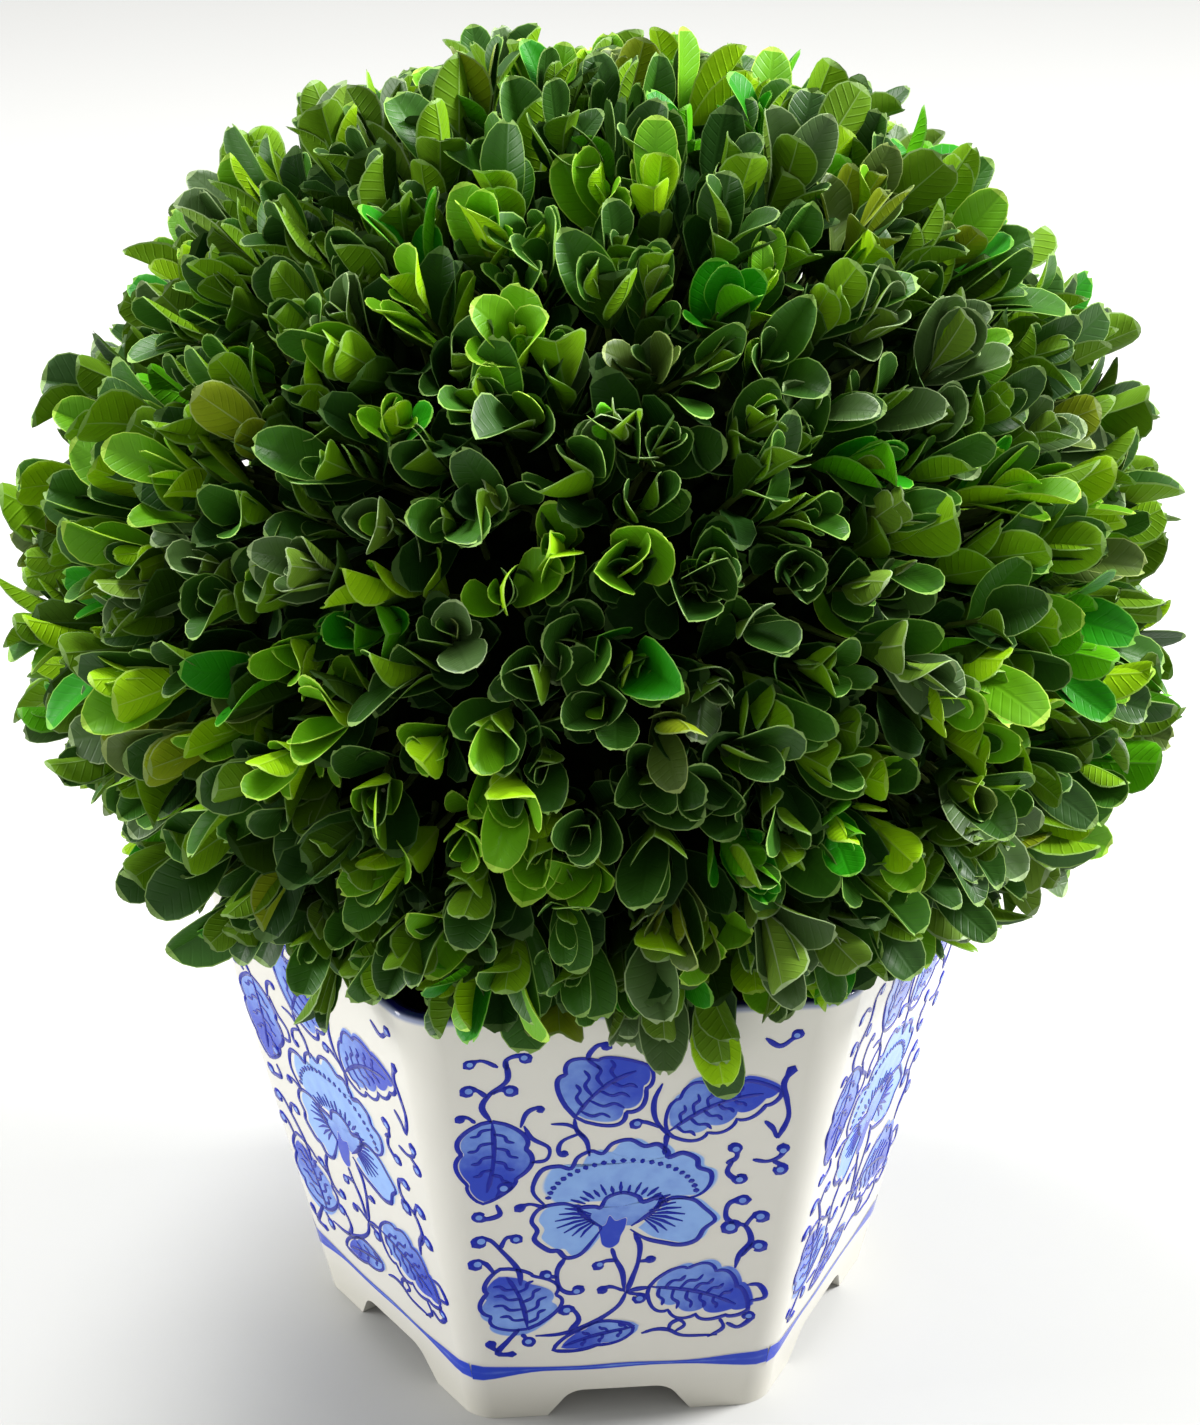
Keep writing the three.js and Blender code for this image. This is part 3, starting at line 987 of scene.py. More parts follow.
@dataclass
class Painting:
    """The blue design on every side of the pot, and the blue line round its foot."""

    pot: Pot
    line_z: float = 17.6 * MM
    design_height: float = 122.5 * MM
    line_lift: float = 0.19 * MM
    wash_lift: float = 0.04 * MM
    wash_step: float = 0.005 * MM
    sunk: float = 0.06 * MM
    brush: float = 1.7
    drop: float = 1.2
    strokes: Patchwork = field(default_factory=Patchwork)
    washes: Patchwork = field(default_factory=Patchwork)

    def on_face(self, face: int, flat: np.ndarray, lift: np.ndarray | float) -> np.ndarray:
        """Puts points of the design on a side of the pot.

        Args:
            face: the side's number, from the front.
            flat: places on the design, in millimetres.
            lift: how far each point stands out of the glaze.

        Returns:
            The places in the row frame.
        """
        turn = 2 * HALF_SIDE * face - math.pi / 2
        rise = (self.pot.rim_z - self.line_z) / self.design_height
        z = self.line_z + flat[:, 1] * MM * rise
        pull, limit = self.round_corner(z, flat[:, 0] * MM)
        out = self.pot.apothem(z) + lift - pull
        across = np.clip(flat[:, 0] * MM, -limit, limit)
        x = math.cos(turn) * out - math.sin(turn) * across
        y = math.sin(turn) * out + math.cos(turn) * across
        return np.stack([x, y, z], 1)

    def stroke(self, middle: np.ndarray, width: float, bulb: float = 0.0) -> None:
        """Paints one brush line on all sides, as a low ridge that is closed underneath.

        Args:
            middle: the line's middle, in millimetres.
            width: its width.
            bulb: the radius of the drop of paint at its end, or none.
        """
        count = len(middle)
        way = unit(np.gradient(middle, axis=0))
        across = np.stack([-way[:, 1], way[:, 0]], 1)
        t = np.linspace(0, 1, count)
        closed = np.allclose(middle[0], middle[-1])
        swell = np.ones(count) if closed else np.clip(np.sin(math.pi * (0.06 + 0.9 * t)) * 2.2, 0.35, 1)
        uneven = 1 + 0.16 * np.sin(t * 9 + middle[0, 0] + middle[0, 1])
        half = (self.brush * width / 2 * swell * uneven)[:, None]
        if bulb:
            steps = np.linalg.norm(np.diff(middle[::-1], axis=0), axis=1)
            left = np.concatenate([[0.0], np.cumsum(steps)])[::-1, None]
            drop = np.sqrt(np.clip(bulb**2 - (left - bulb) ** 2, 0.01, None))
            half = np.where(left < bulb, drop, np.maximum(half, drop))
        rows = (1.0, 0.8, -0.8, -1.0)
        flat = np.vstack([middle + across * half * row for row in rows])
        lift = np.repeat([-self.sunk, self.line_lift, self.line_lift, -self.sunk], count)
        faces = []
        for a in range(count - 1):
            for row in range(len(rows)):
                near, far = row * count + a, (row + 1) % len(rows) * count + a
                faces.append((near, near + 1, far + 1, far))
        ends = [row * count for row in range(len(rows))]
        faces.append(tuple(ends))
        faces.append(tuple(end + count - 1 for end in reversed(ends)))
        for face in range(SIDES):
            self.strokes.add(self.on_face(face, flat, lift), faces)

    def wash(self, outline: np.ndarray, dark_at: np.ndarray, dark: float) -> None:
        """Brushes a thin blue inside an outline on all sides, fading out at its edge.

        Args:
            outline: the closed outline, in millimetres.
            dark_at: the place where the paint has gathered.
            dark: how dark it is there.
        """
        count = len(outline)
        middle = outline.mean(0)
        shares = (0.4, 0.8, 0.95, 1.0)
        rings = [middle + (outline - middle) * share for share in shares]
        flat = np.vstack([middle[None], *rings])
        fade = np.concatenate([[1.0], np.repeat([1.0, 1.0, 0.9, 0.0], count)])
        reach = np.linalg.norm(outline - middle, axis=1).max() * 1.5
        near = 1 - np.linalg.norm(flat - dark_at, axis=1) / reach
        shade = np.clip(dark * (0.42 + 0.8 * np.clip(near, 0, 1)), 0, 1)
        around = [(k, (k + 1) % count) for k in range(count)]
        faces = [(0, 1 + a, 1 + b) for a, b in around]
        for ring in range(len(shares) - 1):
            start = 1 + ring * count
            faces += [(start + a, start + count + a, start + count + b, start + b) for a, b in around]
        if np.cross(outline[0] - middle, outline[1] - middle) < 0:
            faces = [face[::-1] for face in faces]
        values = np.stack([shade, fade], 1)
        self.wash_lift += self.wash_step
        for face in range(SIDES):
            self.washes.add(self.on_face(face, flat, self.wash_lift), faces, values=values)

    def lighten(self, middle: tuple[float, float], radius: float) -> None:
        """Leaves a round light spot on a drop of paint."""
        turns = np.linspace(0, 2 * math.pi, 12, endpoint=False)
        ring = np.array(middle) + radius * np.stack([np.cos(turns), np.sin(turns)], 1)
        flat = np.vstack([np.array(middle)[None], ring])
        faces = [(0, 1 + k, 1 + (k + 1) % len(ring)) for k in range(len(ring))]
        values = np.tile([0.45, 1.0], (len(flat), 1))
        for face in range(SIDES):
            self.washes.add(self.on_face(face, flat, self.line_lift + self.wash_step), faces, values=values)

    def paint_blossom(self, blossom: Blossom) -> None:
        """Paints the flower, its light washes and the dark calyx under it."""
        shift = np.array([1.6, 0.4])
        fan = blossom.fan.curve()
        self.wash(fan + shift * 1.2, np.array([0.0, 52.0]), 0.26)
        for petal in (blossom.left_petal, blossom.right_petal):
            self.wash(petal.curve() + shift, np.array([0.0, 44.0]), 0.28)
        self.wash(blossom.cup.curve(), np.array([-2.0, 48.0]), 0.55)
        calyx = blossom.calyx.curve()[:-1]
        self.wash(calyx, calyx.mean(0), 1.3)
        for middle, width in blossom.lines():
            self.stroke(middle, width)

    def paint_leaf(self, leaf: PaintedLeaf) -> None:
        """Paints one leaf with its wash."""
        slip = np.array(leaf.slip)
        self.wash(leaf.outline(0.97) + slip, np.array(leaf.tip, float), leaf.dark * 1.35)
        for middle, width in leaf.lines():
            self.stroke(middle, width)

    def paint_line(self, line: Line) -> None:
        """Paints a stem or a tendril, with a lighter drop in its bulb."""
        curve = line.curve()
        bulb = line.bulb * self.drop
        self.stroke(curve, line.width, bulb)
        if line.bulb > 1.3:
            lengths = np.cumsum(np.linalg.norm(np.diff(curve[::-1], axis=0), axis=1))
            self.lighten(tuple(curve[::-1][1 + np.searchsorted(lengths, bulb)]), bulb * 0.45)

    def paint_foot_line(self) -> None:
        """Paints the line round the foot, thin along each side and gathered at the corners."""
        steps = 26
        for face in range(SIDES):
            half_side = self.pot.apothem(self.line_z) * math.tan(HALF_SIDE) / MM
            tangent = 2 * half_side * self.pot.corner_share / 100
            end = half_side - tangent * (1 - 0.5 / math.tan(HALF_SIDE))
            across = np.linspace(-end, end, steps)
            gather = np.abs(across / half_side)
            low = -0.7 - 2.2 * smooth_step(0.45, 1.0, gather) + 0.25 * np.sin(across / 5)
            high = 0.7 + 1.5 * smooth_step(0.5, 1.0, gather) + 0.2 * np.sin(across / 4 + 1)
            self.band(face, across, low, high, gather)

    def band(
        self, face: int, across: np.ndarray, low: np.ndarray, high: np.ndarray, gather: np.ndarray
    ) -> None:
        """Paints one side's stretch of the line, as a strip with soft edges.

        Args:
            face: the side's number.
            across: places along the side, in millimetres.
            low: the strip's lower edge at each place.
            high: its upper edge.
            gather: how near each place is to a corner, from 0 to 1.
        """
        shares = (-0.12, 0.0, 0.16, 0.5, 0.84, 1.0, 1.12)
        fades = (0.0, 0.95, 1.0, 1.0, 1.0, 0.95, 0.0)
        shades = (1.3, 1.3, 0.9, 0.5, 0.9, 1.3, 1.3)
        count = len(across)
        flat = np.vstack([np.stack([across, low + (high - low) * share], 1) for share in shares])
        fade = np.repeat(fades, count)
        shade = np.repeat(shades, count) + np.tile(0.35 * gather, len(shares))
        faces = []
        for row in range(len(shares) - 1):
            for k in range(count - 1):
                a = row * count + k
                faces.append((a, a + 1, a + count + 1, a + count))
        self.washes.add(self.on_face(face, flat, self.wash_lift), faces, values=np.stack([shade, fade], 1))

    def round_corner(self, z: np.ndarray, across: np.ndarray) -> tuple[np.ndarray, np.ndarray]:
        """Follows the pot's rounded corners.

        Args:
            z: heights.
            across: distances from the middle of the side.

        Returns:
            How far the surface lies inside the side's plane there, and the place of the corner's middle.
        """
        half_side = self.pot.apothem(z) * math.tan(HALF_SIDE)
        tangent = 2 * half_side * self.pot.corner_share / 100
        radius = tangent / math.tan(HALF_SIDE)
        into = np.clip(np.abs(across) - (half_side - tangent), 0, radius * math.sin(HALF_SIDE))
        limit = half_side - tangent + radius * math.sin(HALF_SIDE)
        return radius - np.sqrt(radius**2 - into**2), limit

    def build(self, flow: bpy.types.NodeTree) -> None:
        """Paints everything and makes the two pieces."""
        self.paint_blossom(Blossom())
        for leaf in LEAVES:
            self.paint_leaf(leaf)
        for line in STEMS + TENDRILS:
            self.paint_line(line)
        self.paint_foot_line()
        lines = self.strokes.join("painted_lines", [LINE_COBALT.make(flow)], math.radians(60))
        washes = self.washes.join("painted_washes", [WASH.make(flow)])
        for piece in (lines, washes):
            finish_piece(piece, "porcelain")


# --------------------------------------------------------------------------------- stem, core, compost


@dataclass
class Compost:
    """Bark compost that fills the pot to just under its rim."""

    clearance: float = 0.3 * MM
    relief: float = 2.4 * MM

    def build(self, pot: Pot) -> bpy.types.Object:
        """Makes the fill, with a lumpy top.

        Args:
            pot: the pot that it fills.

        Returns:
            The fill.
        """
        low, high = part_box("compost")
        top = high.z - self.relief / 2
        widen = 1 / math.cos(HALF_SIDE)
        inset = pot.wall + self.clearance
        deselect()
        bpy.ops.mesh.primitive_cone_add(
            vertices=SIDES,
            radius1=(pot.apothem(low.z) - inset) * widen,
            radius2=(pot.apothem(top) - inset) * widen,
            depth=top - low.z,
            location=(0, 0, (top + low.z) / 2),
            rotation=(0, 0, HALF_SIDE),
        )
        fill = bpy.context.object
        fill.name = "compost_fill"
        apply_place(fill)
        bpy.ops.object.mode_set(mode="EDIT")
        pick(fill, "EDGE", lambda e: abs(e.verts[0].co.z - e.verts[1].co.z) > 0.01)
        bpy.ops.mesh.bevel(offset=8 * MM, segments=3, profile=0.5)
        pick(fill, "FACE", lambda f: f.normal.z > 0.9)
        bpy.ops.mesh.inset(thickness=4 * MM)
        bpy.ops.mesh.poke()
        bpy.ops.mesh.subdivide(number_cuts=14)
        bpy.ops.object.mode_set(mode="OBJECT")
        inner = fill.vertex_groups.new(name="top")
        places = np.array([v.co for v in fill.data.vertices])
        free = (places[:, 2] > top - 0.1 * MM) & (pot.depth_in_wall(places) > inset + 3 * MM)
        loose = np.flatnonzero(free).tolist()
        inner.add(loose, 1.0, "REPLACE")
        apply_modifier(
            fill,
            "DISPLACE",
            texture=clouds("compost_lumps", 6 * MM, 2),
            texture_coords="OBJECT",
            direction="Z",
            strength=2 * self.relief,
            mid_level=0.5,
            vertex_group="top",
        )
        activate(fill)
        bpy.ops.object.shade_smooth()
        fill.data.materials.append(COMPOST.make())
        finish_piece(fill, "compost", "compost")
        return fill


@dataclass
class Stem:
    """The short stem, flared at its foot, that carries the ball."""

    flare: float = 4.5 * MM
    radius: float = 6.2 * MM
    tip_radius: float = 4.8 * MM
    lean: float = 4 * MM

    def build(self) -> bpy.types.Object:
        """Makes the stem with its bark in relief.

        Returns:
            The stem.
        """
        low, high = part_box("stem")
        height = high.z - low.z
        deselect()
        bpy.ops.mesh.primitive_cylinder_add(
            vertices=40, radius=self.radius, depth=height, location=(0, 0, (low.z + high.z) / 2)
        )
        stem = bpy.context.object
        stem.name = "bark_stem"
        apply_place(stem)
        bpy.ops.object.mode_set(mode="EDIT")
        pick(stem, "EDGE", lambda e: abs(e.verts[0].co.z - e.verts[1].co.z) > height / 2)
        bpy.ops.mesh.subdivide(number_cuts=36)
        bpy.ops.object.mode_set(mode="OBJECT")
        for vertex in stem.data.vertices:
            t = (vertex.co.z - low.z) / height
            turn = math.atan2(vertex.co.y, vertex.co.x)
            furrow = 0.05 * math.sin(9 * turn + 5 * t) + 0.03 * math.sin(17 * turn - 11 * t)
            taper = self.tip_radius / self.radius * t + 1 - t
            swell = (taper + self.flare / self.radius * math.exp(-9 * t)) * (1 + furrow)
            vertex.co.x *= swell
            vertex.co.y *= swell
            vertex.co.x += self.lean * t
        apply_modifier(
            stem,
            "DISPLACE",
            texture=clouds("bark_lumps", 2.5 * MM, 2),
            texture_coords="OBJECT",
            strength=0.8 * MM,
            mid_level=0.6,
        )
        activate(stem)
        bpy.ops.object.shade_smooth_by_angle(angle=math.radians(60))
        stem.data.materials.append(STEM_BARK.make())
        finish_piece(stem, "bark", "stem")
        return stem

    def top(self) -> np.ndarray:
        """The middle of the stem's top, where the boughs start."""
        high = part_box("stem")[1]
        return np.array([self.lean, 0.0, high.z - 4 * MM])


@dataclass
class Core:
    """The mossy heart of the ball, which the sprays stand round. Its near-black colour is partly painted
    shade, so that the gaps between the sprays read dark.
    """

    centre: np.ndarray
    radius: float = 91 * MM
    foot_z: float = 128 * MM

    def build(self) -> bpy.types.Object:
        """Makes the core, flat where it meets the compost.

        Returns:
            The core.
        """
        deselect()
        bpy.ops.mesh.primitive_ico_sphere_add(subdivisions=6, radius=self.radius, location=tuple(self.centre))
        core = bpy.context.object
        core.name = "mossy_shade_core"
        apply_place(core)
        apply_modifier(
            core,
            "DISPLACE",
            texture=clouds("moss_lumps", 9 * MM, 3),
            texture_coords="OBJECT",
            strength=7 * MM,
            mid_level=0.6,
        )
        bpy.ops.object.mode_set(mode="EDIT")
        bpy.ops.mesh.select_all(action="SELECT")
        bpy.ops.mesh.bisect(
            plane_co=(0, 0, self.foot_z), plane_no=(0, 0, 1), use_fill=True, clear_inner=True
        )
        bpy.ops.object.mode_set(mode="OBJECT")
        activate(core)
        bpy.ops.object.shade_smooth_by_angle(angle=math.radians(60))
        # the near-black finish is partly painted shade for the gaps between the sprays
        core.data.materials.append(MOSS_AND_SHADE.make())
        finish_piece(core, "foliage", "foliage_ball")
        return core


# ---------------------------------------------------------------------------------------------- crown


@dataclass
class Spray:
    """One leafy shoot: where it starts, where its stem ends, and the way it points there."""

    start: np.ndarray
    tip: np.ndarray
    way: np.ndarray
    tint: Tint
    clipped: bool
    two_ranked: bool


@dataclass
class Limbs:
    """The boughs and branches that fork from the stem to the foot of every spray."""

    random: np.random.Generator
    wood: Patchwork = field(default_factory=Patchwork)
    sides: int = 8

    def tube(
        self,
        path: np.ndarray,
        radii: np.ndarray,
        sides: int,
        into: Patchwork,
        slots: tuple[int, int] = (0, 0),
        rough: float = 0.0,
    ) -> None:
        """Adds one closed tube along a path.

        Args:
            path: its middle, one point in each row.
            radii: its radius at each point.
            sides: how many sides it has.
            into: the mesh that it joins.
            slots: the material slots of its wall and of its far end.
            rough: how uneven its wall is, as a share of its radius.
        """
        way = unit(np.gradient(path, axis=0))
        aside = unit(np.cross(way, [0.31, 0.95, 0.05]))
        other = np.cross(way, aside)
        turns = np.arange(sides) * 2 * math.pi / sides
        ring = aside[:, None] * np.cos(turns)[None, :, None] + other[:, None] * np.sin(turns)[None, :, None]
        lumps = 1 + rough * self.random.uniform(-1, 1, (len(path), sides))
        points = (path[:, None] + ring * (radii[:, None] * lumps)[..., None]).reshape(-1, 3)
        faces = []
        for row in range(len(path) - 1):
            for k in range(sides):
                a, b = row * sides + k, row * sides + (k + 1) % sides
                faces.append((a, b, b + sides, a + sides))
        last = (len(path) - 1) * sides
        faces.append(tuple(range(sides))[::-1])
        faces.append(tuple(range(last, last + sides)))
        own = [slots[0]] * (len(faces) - 1) + [slots[1]]
        into.add(points, faces, own)

    def share_out(self, tips: np.ndarray, parts: int) -> list[np.ndarray]:
        """Shares tips out among limbs, each with its nearest.

        Args:
            tips: the places to reach.
            parts: how many limbs there are.

        Returns:
            The numbers of the tips that each limb takes.
        """
        parts = min(parts, len(tips))
        seeds = [tips[0]]
        for _ in range(parts - 1):
            far = np.min([np.linalg.norm(tips - seed, axis=1) for seed in seeds], axis=0)
            seeds.append(tips[far.argmax()])
        middles = np.array(seeds)
        for _ in range(5):
            nearest = np.linalg.norm(tips[:, None] - middles[None], axis=2).argmin(1)
            for k in np.unique(nearest):
                middles[k] = tips[nearest == k].mean(0)
        return [np.flatnonzero(nearest == k) for k in range(parts) if (nearest == k).any()]

    def grow(
        self,
        start: np.ndarray,
        starts: np.ndarray,
        levels: list[tuple[int, float, float]],
        numbers: np.ndarray,
    ) -> None:
        """Grows limbs from a fork towards the sprays, and forks again at each end.

        Args:
            start: where the limbs begin.
            starts: where the sprays begin, which the last limbs reach.
            levels: for each order of limb, how many there are, how far along they stop, and their radius.
            numbers: the sprays that this fork serves.
        """
        (parts, reach, radius), *rest = levels
        for share in self.share_out(starts[numbers], parts):
            mine = numbers[share]
            goal = starts[mine].mean(0)
            end = start + (goal - start) * reach
            bow = self.random.normal(0, 2.5 * MM, 3)
            path = through(np.stack([start, (start + end) / 2 + bow, end]), 5)
            radii = np.linspace(radius, radius * 0.68, len(path))
            self.tube(path, radii, self.sides, self.wood, rough=0.12)
            if rest:
                self.grow(end, starts, rest, mine)

    def build(self) -> bpy.types.Object:
        """Makes the joined boughs and branches."""
        limbs = self.wood.join("boughs", [STEM_BARK.make()])
        finish_piece(limbs, "bark", "foliage_ball")
        return limbs


@dataclass
class LeafPattern:
    """The outline of a box leaf, as a grid of points from its narrow base to its blunt tip.

    The same grid has two outlines, one egg-shaped and one broadest near its tip, and each leaf mixes them.
    """

    stations: tuple[float, ...] = (0.0, 0.11, 0.27, 0.45, 0.62, 0.77, 0.885, 0.96, 1.0)
    oval: tuple[float, ...] = (0.07, 0.31, 0.72, 0.96, 0.99, 0.87, 0.67, 0.42, 0.17)
    blunt: tuple[float, ...] = (0.06, 0.16, 0.42, 0.72, 0.94, 1.0, 0.88, 0.63, 0.3)
    margin: float = 0.045
    middle: float = 0.55
    rib: float = 0.05

    def __post_init__(self) -> None:
        """Works out the pattern's vertices and faces."""
        rows = len(self.stations)
        inner_rows = self.stations[1:-1]
        self.outlines = [self.columns(widths) for widths in (self.oval, self.blunt)]
        self.along = np.concatenate([np.repeat(self.stations, 7), np.repeat(inner_rows, 6)])
        self.under = np.concatenate([np.zeros(7 * rows), np.ones(6 * len(inner_rows))])
        self.rim = np.concatenate([np.tile([1.0, 0, 0, 0, 0, 0, 1.0], rows), np.zeros(6 * len(inner_rows))])
        self.notch = np.zeros(len(self.along))
        self.notch[7 * rows - 5 : 7 * rows - 2] = (0.6, 1.0, 0.6)
        faces, slots = [], []
        for row in range(rows - 1):
            at_tip = row == rows - 2
            for column, slot in enumerate((2, 0, 0, 0, 0, 2)):
                a = 7 * row + column
                faces.append((a, a + 1, a + 8, a + 7))
                slots.append(2 if at_tip else slot)
            low, high = self.underside(row, rows), self.underside(row + 1, rows)
            for column, slot in enumerate((2, 1, 1, 3, 1, 1, 2)):
                around = (low[column], high[column], high[column + 1], low[column + 1])
                faces.append(tuple(dict.fromkeys(around)))
                slots.append(2 if at_tip else slot)
        self.corners = np.concatenate([np.array(face) for face in faces])
        self.sizes = np.array([len(face) for face in faces])
        self.slots = np.array(slots)

    def columns(self, widths: tuple[float, ...]) -> np.ndarray:
        """The sideways place of every vertex for one outline."""
        across = []
        for width in widths:
            inner = max(width - self.margin, 0.6 * width)
            middle = self.middle * width
            across += [-width, -inner, -middle, 0.0, middle, inner, width]
        for t, width in list(zip(self.stations, widths))[1:-1]:
            inner, middle = max(width - self.margin, 0.6 * width), self.middle * width
            rib = min(self.rib * (1.2 - t), 0.3 * width)
            across += [-inner, -middle, -rib, rib, middle, inner]
        return np.array(across)

    def underside(self, row: int, rows: int) -> list[int]:
        """The vertices across the underside at one row, which shares the upper face's base and tip."""
        first = 7 * row
        if row in (0, rows - 1):
            return [first, first + 1, first + 2, first + 3, first + 3, first + 4, first + 5, first + 6]
        below = 7 * rows + 6 * (row - 1)
        return [first, *range(below, below + 6), first + 6]


@dataclass
class LeafBatch:
    """The leaves of one tint, as growing lists of where and how each one stands."""

    base: list = field(default_factory=list)
    way: list = field(default_factory=list)
    face: list = field(default_factory=list)
    length: list = field(default_factory=list)
    half_width: list = field(default_factory=list)
    bluntness: list = field(default_factory=list)
    cup: list = field(default_factory=list)
    fold: list = field(default_factory=list)
    curl: list = field(default_factory=list)
    notch: list = field(default_factory=list)

    def column(self, name: str) -> np.ndarray:
        """One of the lists, as a column with a row for each leaf."""
        return np.array(getattr(self, name))[:, None]

    def shapes(self, pattern: LeafPattern) -> np.ndarray:
        """Works out the vertices of all the leaves.

        Args:
            pattern: the outline that they share.

        Returns:
            An array of leaves by vertices by three.
        """
        way, face, base = (np.array(part)[:, None] for part in (self.way, self.face, self.base))
        aside = np.cross(way, face)
        length, half = self.column("length"), self.column("half_width")
        oval, blunt = (outline[None] for outline in pattern.outlines)
        across = oval + (blunt - oval) * self.column("bluntness")
        along = pattern.along[None] - self.column("notch") * pattern.notch[None]
        hollow = self.column("cup") * across**2 + self.column("fold") * np.abs(across)
        bend = self.column("curl") * np.maximum(along - 0.25, 0) ** 2
        rise = hollow * half + bend * length - (0.15 * pattern.rim + 0.3 * pattern.under)[None] * MM
        return (
            base
            + aside * (across * half)[..., None]
            + way * (along * length)[..., None]
            + face * rise[..., None]
        )


@dataclass
class Crown:
    """The clipped ball: sprays of opposite leaves standing out of the core on every side."""

    pot: Pot
    random: np.random.Generator
    centre: np.ndarray
    reach: float
    sprays: int = 620
    clipped_share: float = 0.42
    two_ranked_share: float = 0.6
    lowest: float = -27.0
    skirt: int = 60
    hanging_every: int = 9
    first_hanging: int = 2
    parted_at: float = 4.17
    parted_width: float = 0.3
    proud_share: float = 0.16
    tallest: float = 7 * MM
    leaf_length: float = 21.0 * MM
    length_spread: float = 2.6 * MM
    pairs: int = 4
    shaded_share: tuple[float, ...] = (0.0, 0.08, 0.6, 0.92)
    last_pair_share: float = 0.7
    node_gap: float = 5.0 * MM
    most_in_piece: int = 1050
    list_of_sprays: list[Spray] = field(default_factory=list)

    def deal_tint(self) -> Tint:
        """Picks a tint for a spray by its share."""
        tints = list(Tint)
        shares = np.array([tint.share for tint in tints])
        return tints[self.random.choice(len(tints), p=shares / shares.sum())]

    def add_spray(self, start: np.ndarray, tip: np.ndarray, way: np.ndarray) -> None:
        """Adds a spray, and draws its tint and its habit.

        Args:
            start: the foot of its stem.
            tip: the end of its stem.
            way: the direction that it ends in.
        """
        clipped, two_ranked = self.random.random(2) < (self.clipped_share, self.two_ranked_share)
        self.list_of_sprays.append(Spray(start, tip, way, self.deal_tint(), clipped, two_ranked))

    def tip_radius(self, rise: float) -> float:
        """How far from the middle the leaf tips reach, at the sine of an angle above the level."""
        narrowing = 0.12 * float(smooth_step(0.1, 0.5, np.array(-rise)))
        return self.reach * (1 - narrowing)

    def place_round(self) -> None:
        """Places the sprays of the ball, spread evenly with some disorder."""
        bottom = math.sin(math.radians(self.lowest))
        golden = math.pi * (3 - math.sqrt(5))
        spacing = math.sqrt(2 * math.pi * (1 - bottom) / self.sprays)
        for i in range(self.sprays):
            rise = 1 - (1 - bottom) * (i + 0.5) / self.sprays
            turn = i * golden
            flat = math.sqrt(1 - rise * rise)
            out = np.array([flat * math.cos(turn), flat * math.sin(turn), rise])
            out = unit(out + self.random.normal(0, 0.15 * spacing, 3))
            ends = self.tip_radius(out[2]) - self.random.triangular(13, 21, 31) * MM
            if self.random.random() < self.proud_share:
                ends += self.random.uniform(2, 7) * MM
            tip = self.centre + out * ends
            way = unit(out + self.random.normal(0, 0.13, 3))
            start = self.centre + unit(out + self.random.normal(0, 0.05, 3)) * 78 * MM
            self.add_spray(start, tip, way)

    def place_skirt(self) -> None:
        """Places the sprays that hang out over the pot's rim."""
        for i in range(self.skirt):
            turn = 2 * math.pi * (i + self.random.uniform(-0.3, 0.3)) / self.skirt
            out = np.array([math.cos(turn), math.sin(turn), 0.0])
            sector = (turn + math.pi / 2 + HALF_SIDE) % (2 * HALF_SIDE) - HALF_SIDE
            edge = min(self.pot.rim_apothem / math.cos(sector), 102 * MM)
            if i % self.hanging_every == self.first_hanging:
                height = self.pot.rim_z + self.random.uniform(3, 7) * MM
                beyond = self.random.uniform(4, 7) * MM
                droop = self.random.uniform(1.7, 2.6)
            else:
                height = self.pot.rim_z + self.random.uniform(9, 20) * MM
                beyond = self.random.uniform(-7, 4) * MM
                droop = self.random.uniform(0.1, 0.75)
                if abs(turn - self.parted_at) < self.parted_width:
                    height += 14 * MM
            tip = out * (edge + beyond) + np.array([0, 0, height])
            way = unit(out + np.array([0, 0, -droop]) + self.random.normal(0, 0.12, 3))
            start = out * 66 * MM + np.array([0, 0, self.pot.rim_z + 26 * MM])
            self.add_spray(start, tip, way)

    def stem_path(self, spray: Spray) -> np.ndarray:
        """The middle of a spray's stem, which leaves the core and bends into its own way."""
        span = np.linalg.norm(spray.tip - spray.start)
        before = spray.tip - spray.way * span * 0.45
        return through(np.stack([spray.start, before, spray.tip]), 4)

    def leaf_out(self, spray: Spray, batches: dict[Tint, LeafBatch]) -> None:
        """Sets pairs of leaves down a spray's stem, each pair square to the last.

        Args:
            spray: the shoot.
            batches: the leaves of each tint, which this adds to.
        """
        r = self.random
        path = self.stem_path(spray)
        lengths = np.concatenate([[0], np.cumsum(np.linalg.norm(np.diff(path[::-1], axis=0), axis=1))])
        turn = r.uniform(0, math.pi)
        side = unit(np.cross(spray.way, [0.2, 0.3, 0.93]))
        other = np.cross(spray.way, side)
        down = 0.0
        scale = r.normal(1.0, 0.07)
        first = 0 if spray.clipped else -1
        for pair in range(first, self.pairs - int(r.random() > self.last_pair_share)):
            spot = np.array([np.interp(down, lengths, path[::-1, k]) for k in range(3)])
            young = pair < 0
            spread = math.radians(r.uniform(3, 11) if young else r.uniform(6, 18) + 6.5 * pair)
            for half in (0, math.pi):
                angle = turn + half + r.normal(0, 0.12)
                out = math.cos(angle) * side + math.sin(angle) * other
                lean = spread + r.normal(0, 0.1)
                way = unit(math.cos(lean) * spray.way + math.sin(lean) * out + r.normal(0, 0.05, 3))
                face = unit(math.sin(lean) * spray.way - math.cos(lean) * out)
                face = unit(face - way * (face @ way))
                twist = r.normal(0, 0.38)
                face = math.cos(twist) * face + math.sin(twist) * np.cross(way, face)
                length = r.normal(self.leaf_length, self.length_spread) * scale * (0.6 if young else 1.0)
                tint = spray.tint if r.random() < 0.8 else self.deal_tint()
                # the inner pairs mostly take the SHADED tint, which is painted shade for the depth of the
                # ball
                if r.random() < self.shaded_share[max(pair, 0)]:
                    tint = Tint.SHADED
                batch = batches[tint]
                batch.base.append(spot + out * 0.5 * MM)
                batch.way.append(way)
                batch.face.append(face)
                batch.length.append(length)
                batch.half_width.append(length * r.uniform(0.205, 0.28))
                batch.bluntness.append(r.uniform(0.0, 1.0))
